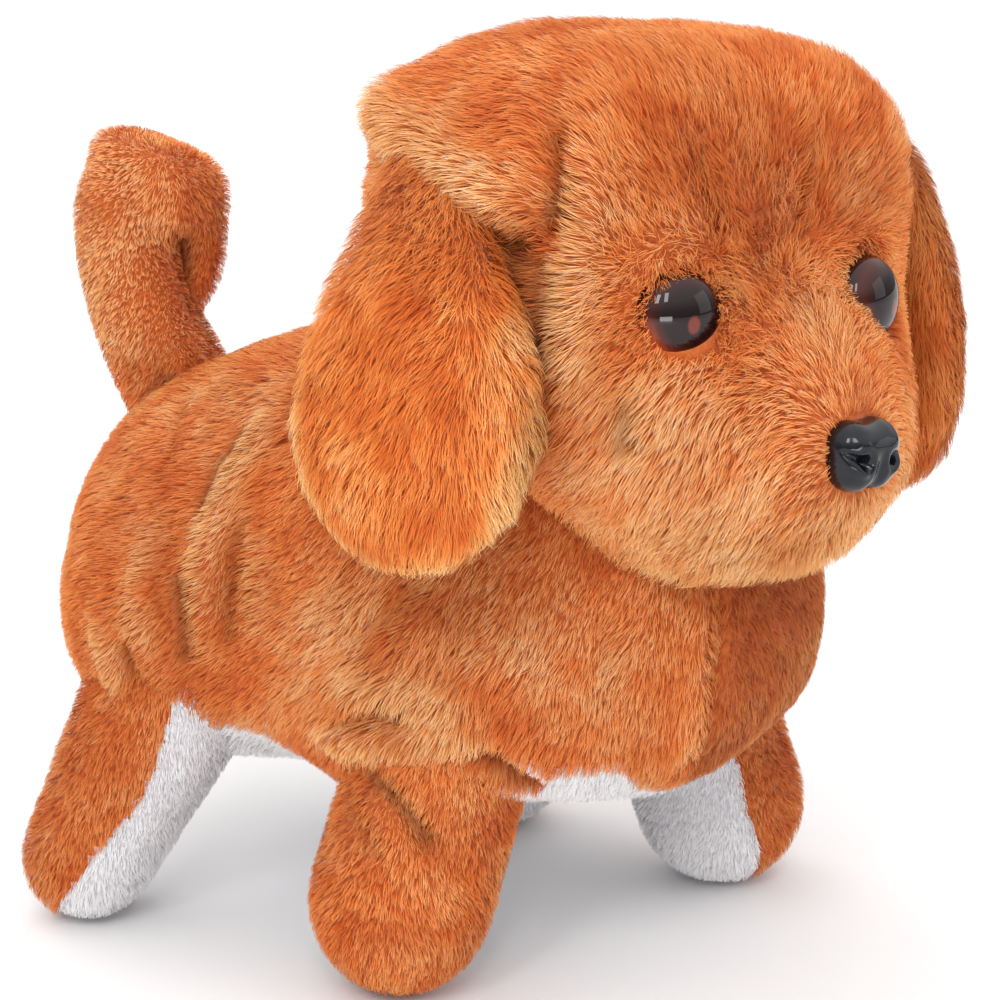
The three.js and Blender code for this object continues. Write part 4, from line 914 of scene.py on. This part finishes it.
def head_flow(P, N):
    q = world_to_head(P)
    f = np.zeros((len(P), 3))
    f[:, 1] = 0.9
    f[:, 0] = 0.25 * np.sign(q[:, 0])
    low = 1 - smooth(q[:, 2], -14, 6)
    brow = smooth(q[:, 2], 8, 20) * (1 - smooth(q[:, 1], -24, -4))
    f[:, 2] = -0.25 - 0.75 * low + 0.75 * brow
    f[:, 1] -= 0.35 * low
    # parts round the eyes
    for s, c in EYES.items():
        d = q - np.array(c)
        r = np.linalg.norm(d, axis=1)
        w = np.exp(-(r / 11.5) ** 4) * (0.85 - 0.7 * smooth(d[:, 2] - 0.5 * s * d[:, 0], 0, 6))
        f += (unit(d) * 0.35 - f) * w[:, None]
        over = np.exp(-(r / 12.5) ** 4) * smooth(d[:, 2] - 0.5 * s * d[:, 0], 0, 6)
        f += (np.array([-0.3 * s, 0.1, -0.9]) - f) * (0.75 * over)[:, None]
    d = q - np.array(NOSE)
    w = np.exp(-(np.linalg.norm(d, axis=1) / 15) ** 2)
    f += (unit(d) * 1.6 - f) * w[:, None]
    return f @ HEAD_R.T

def head_length(P):
    q = world_to_head(P)
    L = np.full(len(P), 6.2) + 4.2 * (1 - smooth(q[:, 2], -40, -30)) * (q[:, 1] < 5)
    for c in EYES.values():
        d = np.linalg.norm(q - np.array(c), axis=1)
        L -= 2.2 * np.exp(-(d / 11.0) ** 4)
    d = np.linalg.norm(q - np.array(NOSE), axis=1)
    L -= 2.8 * np.exp(-(d / 14) ** 2)
    d, _, _ = line_distance(q, [(-50, 2, 14), (-48, -8, 12.5), (-46.3, -17.8, 14.8)])
    L -= 3.4 * np.exp(-(d / 6.5) ** 4)
    return L

def head_lean(P, N):
    q = world_to_head(P)
    k = 0.66 - 0.30 * (1 - smooth(q[:, 2], -40, -26))
    for c in EYES.values():
        k -= 0.46 * np.exp(-(np.linalg.norm(q - np.array(c), axis=1) / 10.5) ** 4)
    return k

HEAD_SPOTS = [
    ((0, -40, 22), 20, -0.10, 0.20), ((-20, -30, 30), 16, -0.03, 0.14), ((-30, -32, -16), 16, 0.20, 0.02), ((-10, -50, -34), 20, 0.34, 0.0),
    ((8, -52, -34), 16, 0.26, 0.0), ((-38, -22, -4), 12, 0.16, 0.0), ((0, -46, -6), 9, 0.22, 0.0), ((-46, 0, 32), 12, 0.06, 0.02), ((10, -36, 8), 10, 0.14, 0.0),
]
def head_tone(P):
    q = world_to_head(P)
    return fold_shade_and_highlight(q, HEAD_FOLDS)[1] + patches(q, HEAD_SPOTS)[0] + 0.12 * noise(P, 9.0, 46) + 0.09 * noise(P, 4.0, 56) + 0.3 * (1 - smooth(q[:, 2], -42, -28)) * (q[:, 1] < 0)
def head_shade(P):
    q = world_to_head(P)
    return np.maximum(fold_shade_and_highlight(q, HEAD_FOLDS)[0], patches(q, HEAD_SPOTS)[1] + 0.08 + 0.05 * noise(P, 11.0, 47))

def head_keep(P, N):
    q = world_to_head(P)
    k = torso_field(P) > -9
    for s, c in EYES.items():
        ax = np.array([s * math.sin(EYE_TURN), -math.cos(EYE_TURN), 0])
        d = q - np.array(c)
        r = np.linalg.norm(d - (d @ ax)[:, None] * ax, axis=1)
        k &= ~((r < 6.0) & (q[:, 1] < -10))
    r = np.hypot(q[:, 0] - NOSE[0], q[:, 2] - NOSE[2])
    k &= ~((r < 6.4) & (q[:, 1] < -20))
    return k

V, F = arrays(head)
def head_density(P):
    q = world_to_head(P)
    d = np.full(len(q), 4.8)
    for c in EYES.values():
        d += 3.5 * np.exp(-(np.linalg.norm(q - np.array(c), axis=1) / 10.5) ** 4)
    return d
ride_all(fur("head_fur", V, F, head_density, head_length, head_flow, 23, FUR, keep=head_keep, lean=head_lean, shade=head_shade, tone=head_tone), "head")

for name, o in ears.items():
    V, F = arrays(o)
    side = -1 if name == "right" else 1
    def ear_place(P, side=side):
        q = world_to_head(P) * np.array([side, 1, 1]) - np.array(EAR_TOP)
        return q[:, 0] * math.sin(EAR_TILT) + q[:, 1] * math.cos(EAR_TILT), -q[:, 2]
    def ear_flow(P, N, side=side, ear_place=ear_place):
        e, down = ear_place(P)
        c = (0.2 - 0.6 * (1 - smooth(e, -16, -6))) * smooth(down, 14, 34) * (1 - smooth(down, 62, 74))
        w = np.array([side * math.sin(EAR_TILT), math.cos(EAR_TILT), 0])
        f = c[:, None] * w + np.array([0, 0, -1.0])
        return f @ HEAD_R.T
    def ear_tone(P, ear_place=ear_place, side=side):
        e, down = ear_place(P)
        rim = smooth(np.hypot(e / 24.0, (down - 44) / 34.0) * (down > 30), 0.72, 1.02)
        parting = 0.26 * np.exp(-((e + 15 + 0.10 * (down - 40)) / 3.2) ** 2) * smooth(down, 22, 34)
        # the far ear's lower tone is part of its painted shade
        return (0.85 * rim + parting) * (side < 0) + 0.16 * noise(P, 8.0, 48) + 0.08 * noise(P, 3.5, 58) - (0.12 if side < 0 else 0.16)
    # ear_shade is painted shade: dark in the hollow under the head's ridge at the near ear's root, along its front
    # edge beside the cheek, across the tops of both ears under the head, and over the whole far ear
    def ear_shade(P, ear_place=ear_place, side=side):
        e, down = ear_place(P)
        pinch = 1.0 * (1 - smooth(e + 0.55 * (down - 19), -13.5, -6.0)) * (1 - smooth(down, 21, 29)) * smooth(down, 8, 14) * (side < 0)
        pinch = np.maximum(pinch, 0.55 * (1 - smooth(e, -21.5, -16.5)) * smooth(down, 22, 28) * (1 - smooth(down, 54, 64)) * (side < 0))
        return np.maximum(pinch, (0.04 if side < 0 else 0.34) + 0.16 * (1 - smooth(down, 16, 34)) + 0.08 * noise(P, 9.0, 49))
    def ear_lean(P, N, ear_place=ear_place):
        e, down = ear_place(P)
        return 0.74 - 0.40 * smooth(down, 64, 78)
    ride_all(fur("ear_" + name + "_fur", V, F, 5.4, 5.8, ear_flow, 37 if side < 0 else 41, FUR_PALE, lean=ear_lean, tone=ear_tone, shade=ear_shade, order=2), "ear_" + name)

for k, (name, o) in enumerate(legs.items()):
    a, b, ra, rb = LEG[name]
    V, F = arrays(o)
    white = WHITE_ON[name]
    def keep_b(P, N, white=white):
        return (torso_field(P) > -8) & (white(P) < 0)
    def keep_w(P, N, white=white):
        return (torso_field(P) > -8) & (white(P) >= 0)
    def leg_shade(P, name=name):
        s = 0.05 + 0.05 * noise(P, 9.0, 52)
        if name == "front_right":
            s = np.maximum(s, fold_shade_and_highlight(P, LEG_FOLDS)[0])
        # painted shade: the rear right and the front left leg are darkened where less light reaches them
        if name == "rear_right":
            s = s + 0.16
        if name == "front_left":
            s = s + 0.16
        return s
    def leg_tone(P, name=name):
        t = 0.12 * noise(P, 8.0, 53) + 0.08 * noise(P, 4.0, 57)
        return t + (patches(P, [((-50, -34, 16), 12, 0.16, 0), ((-44, -38, 40), 10, 0.18, 0)])[0] if name == "front_right" else 0)
    made = fur(name + "_leg_fur", V, F, 5.8, 3.8, lambda P, N: np.tile(np.array([0, 0.1, -1.0]), (len(P), 1)), 51 + k, FUR, keep=keep_b, lean=0.5, width=0.13, shade=leg_shade, tone=leg_tone, order=2)
    made += fur(name + "_leg_white", V, F, 5.5, 2.4, lambda P, N: np.tile(np.array([0, 0.1, -1.0]), (len(P), 1)), 61 + k, WHITE, keep=keep_w, lean=0.5, tuft=0.4, pull=0.2, order=2)
    for f in made:
        out((a[0], a[1], 66)).tolist()
        out((b[0] * 0.5 + a[0] * 0.5, b[1] * 0.4 + a[1] * 0.6, 38)).tolist()
        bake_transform(f)

V, F = arrays(tail)
def tail_flow(P, N):
    return np.tile(np.array([-0.1, 0.3, -0.8]), (len(P), 1))
# painted shade on the flap's front and in the hollow at the tail's base; the stem and the top are paler
TAIL_SPOTS = [((-10, 74, 128), 14, 0.3, 0), ((-4, 66, 146), 12, 0.2, 0), ((12, 54, 130), 8, -0.04, 0.25), ((-9, 58, 106), 7, 0, 0.35)]
ride_all(fur("tail_fur", V, F, 6.6, 2.8, tail_flow, 71, FUR, lean=0.42, width=0.13, order=2, tone=lambda P: patches(P, TAIL_SPOTS)[0] + 0.06 + fold_shade_and_highlight(P, TAIL_FOLDS)[1], shade=lambda P: np.maximum(patches(P, TAIL_SPOTS)[1], fold_shade_and_highlight(P, TAIL_FOLDS)[0])), "tail")

# ---------------------------------------------------------------------------------------------
# eyes: domed buttons of dark red-brown plastic, clearer towards the rim; the brighter red-brown glow inside the lower
# rim is painted light, the light through the dome
def attr(o, name, values):
    o.data.attributes.new(name, "FLOAT", "POINT").data.foreach_set("value", np.asarray(values, np.float32))

def eye_material():
    m, nt, b = material("eye_plastic")
    rr = attribute(nt, "rr").outputs["Fac"]
    low = attribute(nt, "low").outputs["Fac"]
    core = attribute(nt, "core").outputs["Fac"]
    upper = ramp(nt, [(0.0, (0.010, 0.004, 0.004)), (0.6, (0.012, 0.005, 0.005)), (0.76, (0.03, 0.006, 0.005)), (0.93, (0.06, 0.011, 0.007)), (1.0, (0.02, 0.005, 0.004))], rr).outputs["Color"]
    # painted light: the lower half gets a red-brown glow near the rim, the light that comes through the dome
    lower = ramp(nt, [(0.0, (0.010, 0.004, 0.004)), (0.5, (0.016, 0.005, 0.005)), (0.66, (0.10, 0.016, 0.008)), (0.84, (0.50, 0.085, 0.022)), (1.0, (0.16, 0.024, 0.008))], rr).outputs["Color"]
    c = mix(nt, "MIX", low, upper, lower)
    c = mix(nt, "MIX", core, c, (0.20, 0.035, 0.025))
    nt.links.new(c, b.inputs["Base Color"])
    n1 = node(nt, "ShaderNodeTexNoise")
    n1.inputs["Scale"].default_value = 260.0
    nt.links.new(node(nt, "ShaderNodeTexCoord").outputs["Object"], n1.inputs["Vector"])
    r = ramp(nt, [(0.3, (0.03, 0.03, 0.03)), (0.7, (0.055, 0.055, 0.055))], n1.outputs["Fac"])
    nt.links.new(r.outputs["Color"], b.inputs["Roughness"])
    b.inputs["Specular IOR Level"].default_value = 0.4
    return m

EYE_MAT = eye_material()
def basis(axis, up=(0, 0, 1)):
    z = unit(np.array(axis, float))
    x = unit(np.cross(np.array(up, float), z))
    y = np.cross(z, x)
    return np.stack([x, y, z])  # rows

def eye(name, side):
    n, m = 96, 40
    a = np.array([side * math.sin(EYE_TURN), -math.cos(EYE_TURN), 0.0])
    B = basis(a)
    V, rr, low, core = [], [], [], []
    R, H = 8.2, 6.0
    prof = [(R * math.sin(t), H * math.cos(t)) for t in np.linspace(0.001, math.pi / 2, m)] + [(R, -0.6), (R - 0.5, -1.2), (2.0, -1.3), (1.9, -13.5), (0.01, -13.6)]
    th = np.linspace(0, 2 * np.pi, n, endpoint=False)
    for r, h in prof:
        for t in th:
            V.append((r * math.cos(t), r * math.sin(t), h))
            q = r / R if h > -0.1 else 1.0
            rr.append(q)
            # low marks the lower side, where the painted glow of light through the dome goes
            low.append(float(smooth(np.array(-math.sin(t + 0.35)), 0.1, 0.9)) * min(1, q * 1.4))
            cx, cy = r * math.cos(t) - 0.6, r * math.sin(t) + 0.5
            core.append(float(0.85 * (1 - smooth(np.array(math.hypot(cx / 1.25, cy / 1.7)), 0.72, 1.05))) if h > 3 else 0.0)
    F = []
    for i in range(len(prof) - 1):
        for j in range(n):
            p, q = i * n + j, i * n + (j + 1) % n
            F.append((p, p + n, q + n, q))
    V = np.array(V) @ B + np.array(EYES[side])
    o = mesh_object(name, head_to_world(V), F, EYE_MAT)
    attr(o, "rr", rr)
    attr(o, "low", low)
    attr(o, "core", core)
    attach(o, "head")
    return o

eye_r, eye_l = eye("eye_dome_right", -1), eye("eye_dome_left", 1)

def nose_material():
    m, nt, b = material("nose_plastic")
    tc = node(nt, "ShaderNodeTexCoord")
    n1 = node(nt, "ShaderNodeTexNoise")
    n1.inputs["Scale"].default_value = 900.0
    n1.inputs["Detail"].default_value = 3.0
    nt.links.new(tc.outputs["Object"], n1.inputs["Vector"])
    c = ramp(nt, [(0.3, (0.003, 0.004, 0.006)), (0.7, (0.008, 0.010, 0.015))], n1.outputs["Fac"]).outputs["Color"]
    nt.links.new(c, b.inputs["Base Color"])
    r = ramp(nt, [(0.3, (0.10, 0.10, 0.10)), (0.7, (0.17, 0.17, 0.17))], n1.outputs["Fac"])
    nt.links.new(r.outputs["Color"], b.inputs["Roughness"])
    b.inputs["Specular IOR Level"].default_value = 0.22
    b.inputs["Coat Weight"].default_value = 0.35
    b.inputs["Coat Roughness"].default_value = 0.05
    bump = node(nt, "ShaderNodeBump")
    bump.inputs["Strength"].default_value = 0.12
    bump.inputs["Distance"].default_value = 0.0002
    nt.links.new(n1.outputs["Fac"], bump.inputs["Height"])
    nt.links.new(bump.outputs["Normal"], b.inputs["Normal"])
    return m

def nose_piece():
    d, F = ico(6)
    x, y, z = d.T
    # rounded triangle, broad on top with a dip, two lobes below
    X = np.sign(x) * np.abs(x) ** 0.8 * 7.8 * (1 - 0.16 * (1 - z) / 2)
    Z = np.sign(z) * np.abs(z) ** 0.84 * 6.6
    Y = np.where(y < 0, -np.abs(y) ** 0.8 * 6.2, y * 3.0)
    top = np.clip(z, 0, 1)
    Z -= 0.8 * np.exp(-(x / 0.3) ** 2) * top
    low = np.clip(-z, 0, 1)
    Z += 1.3 * np.exp(-(x / 0.2) ** 2) * low
    front = np.clip(-y, 0, 1) ** 0.5
    push = 0.9 * np.exp(-(x / 0.11) ** 2) * smooth(-z, -0.35, 0.25)  # the groove down the middle
    for s in (-1, 1):
        u, v = x * s, z
        push += 2.6 * np.exp(-((u - 0.38) / 0.13) ** 2 - ((v + 0.04) / 0.13) ** 2)
        # a curved slit runs from the nostril out to the side
        line = -0.04 + 0.34 * (u - 0.36)
        push += 1.2 * np.exp(-((v - line) / 0.08) ** 2) * smooth(u, 0.34, 0.46) * (1 - smooth(u, 0.8, 0.98))
        push -= 0.7 * np.exp(-((v - line + 0.24) / 0.13) ** 2) * smooth(u, 0.25, 0.5) * (1 - smooth(u, 0.85, 1.0))
        push -= 0.5 * np.exp(-((u - 0.42) / 0.2) ** 2 - ((v - 0.42) / 0.2) ** 2)
    Y += push * front
    V = np.stack([X, Y, Z], 1) + np.array(NOSE)
    o = mesh_object("nose_button", head_to_world(V), F, nose_material())
    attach(o, "head")
    return o

nose = nose_piece()
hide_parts("eye_right")
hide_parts("eye_left")
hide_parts("nose")

# ---------------------------------------------------------------------------------------------
# the CAD nodes that the finished pieces stand for
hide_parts("torso_plush")
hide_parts("head_plush")
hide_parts("ear_right")
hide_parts("ear_left")
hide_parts("tail_plush")
for name, o in legs.items():
    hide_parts(name + "_leg_plush")

# ---------------------------------------------------------------------------------------------
# the battery door, its screw and the power switch knob: moulded plastic and metal in the frame's own colours
def finished(old):
    p = next((n for n in old.node_tree.nodes if n.type == "BSDF_PRINCIPLED"), None) if old and old.use_nodes else None
    col = tuple(p.inputs["Base Color"].default_value)[:3] if p else (0.5, 0.5, 0.5)
    metal = p.inputs["Metallic"].default_value if p else 0.0
    rough = p.inputs["Roughness"].default_value if p else 0.5
    m, nt, b = material((old.name if old else "part") + "_finish")
    tc = node(nt, "ShaderNodeTexCoord")
    mp = node(nt, "ShaderNodeMapping")
    mp.inputs["Scale"].default_value = (1.0, 9.0, 1.0) if metal > 0.5 else (1.0, 1.0, 1.0)
    nt.links.new(tc.outputs["Object"], mp.inputs["Vector"])
    n1 = node(nt, "ShaderNodeTexNoise")
    n1.inputs["Scale"].default_value = 320.0 if metal > 0.5 else 900.0
    n1.inputs["Detail"].default_value = 4.0
    nt.links.new(mp.outputs["Vector"], n1.inputs["Vector"])
    c = ramp(nt, [(0.3, tuple(0.86 * v for v in col)), (0.7, tuple(min(1.0, 1.08 * v) for v in col))], n1.outputs["Fac"]).outputs["Color"]
    nt.links.new(c, b.inputs["Base Color"])
    lo, hi = max(0.05, rough - 0.08), min(1.0, rough + 0.10)
    r = ramp(nt, [(0.3, (lo, lo, lo)), (0.7, (hi, hi, hi))], n1.outputs["Fac"]).outputs["Color"]
    nt.links.new(r, b.inputs["Roughness"])
    b.inputs["Metallic"].default_value = metal
    bump = node(nt, "ShaderNodeBump")
    bump.inputs["Strength"].default_value = 0.25
    bump.inputs["Distance"].default_value = 0.0002
    nt.links.new(n1.outputs["Fac"], bump.inputs["Height"])
    nt.links.new(bump.outputs["Normal"], b.inputs["Normal"])
    return m

FINISH = {}
for n in ("battery_door", "battery_door_screw", "power_switch_knob"):
    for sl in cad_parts[n].material_slots:
        key = sl.material.name if sl.material else "part"
        if key not in FINISH:
            FINISH[key] = finished(sl.material)
        sl.material = FINISH[key]

# ---------------------------------------------------------------------------------------------
# stage, light and camera
def plane(name, size, z):
    bm = bmesh.new()
    bmesh.ops.create_grid(bm, x_segments=1, y_segments=1, size=size)
    me = D.meshes.new(name)
    bm.to_mesh(me)
    bm.free()
    o = link(D.objects.new(name, me))
    o.location = (0, 0, z)
    return o

floor = plane("floor", 6.0, -0.0004)
fm, nt, b = material("floor_white")
b.inputs["Base Color"].default_value = (0.92, 0.92, 0.92, 1)
b.inputs["Roughness"].default_value = 0.9
b.inputs["Specular IOR Level"].default_value = 0.1
floor.data.materials.append(fm)

AZ, EL, DIST, FOCAL = -60.0, 16.0, 0.520, 91.8
TARGET = out((18, -8, 80))
cam = D.cameras.new("camera")
co = link(D.objects.new("camera", cam))
az, el = math.radians(AZ), math.radians(EL)
back = np.array([math.sin(az) * math.cos(el), -math.cos(az) * math.cos(el), math.sin(el)])
co.location = Vector(TARGET + back * DIST)
co.rotation_euler = Vector(back).to_track_quat("Z", "Y").to_euler()
cam.lens = FOCAL
cam.sensor_width = 36.0
cam.clip_start = 0.01
cam.clip_end = 50
C.scene.camera = co

world = D.worlds.new("studio")
C.scene.world = world
world.use_nodes = True
wn = world.node_tree
wz = node(wn, "ShaderNodeSeparateXYZ")
wn.links.new(node(wn, "ShaderNodeTexCoord").outputs["Generated"], wz.inputs[0])
sky = ramp(wn, [(0.0, (0.16, 0.16, 0.17)), (0.2, (0.26, 0.26, 0.27)), (0.5, (0.72, 0.72, 0.72)), (1.0, (1, 1, 1))], wz.outputs["Z"])
wn.links.new(sky.outputs["Color"], wn.nodes["Background"].inputs[0])
wn.nodes["Background"].inputs[1].default_value = 1.5

def softbox(name, loc, aim, size, power, color=(1, 1, 1)):
    L = D.lights.new(name, "AREA")
    L.shape = "RECTANGLE"
    L.size, L.size_y = size
    L.energy = power
    L.color = color
    o = link(D.objects.new(name, L))
    o.location = loc
    o.rotation_euler = (Vector(loc) - Vector(aim)).to_track_quat("Z", "Y").to_euler()
    return o

aim = (0, 0, 0.09)
softbox("key_left", (-1.05, -0.10, 0.95), aim, (0.20, 0.44), 2.8)
softbox("key_right", (-0.86, -0.48, 0.95), aim, (0.17, 0.44), 2.1)
softbox("fill", (0.4, -1.2, 0.5), aim, (0.7, 0.7), 1.4)
softbox("low", (-0.98, -0.60, 0.10), (0.02, -0.045, 0.03), (0.5, 0.16), 2.0)
softbox("back", (0.2, 1.0, 0.9), aim, (0.8, 0.5), 2.2)

sc = C.scene
sc.cycles.diffuse_bounces = 6
sc.cycles.max_bounces = 10
sc.render.resolution_x = sc.render.resolution_y = 1000
sc.view_settings.view_transform = "Standard"
sc.view_settings.look = "None"
sc.view_settings.exposure = 0.0

print("FIBRES", COUNT, sum(COUNT.values()))
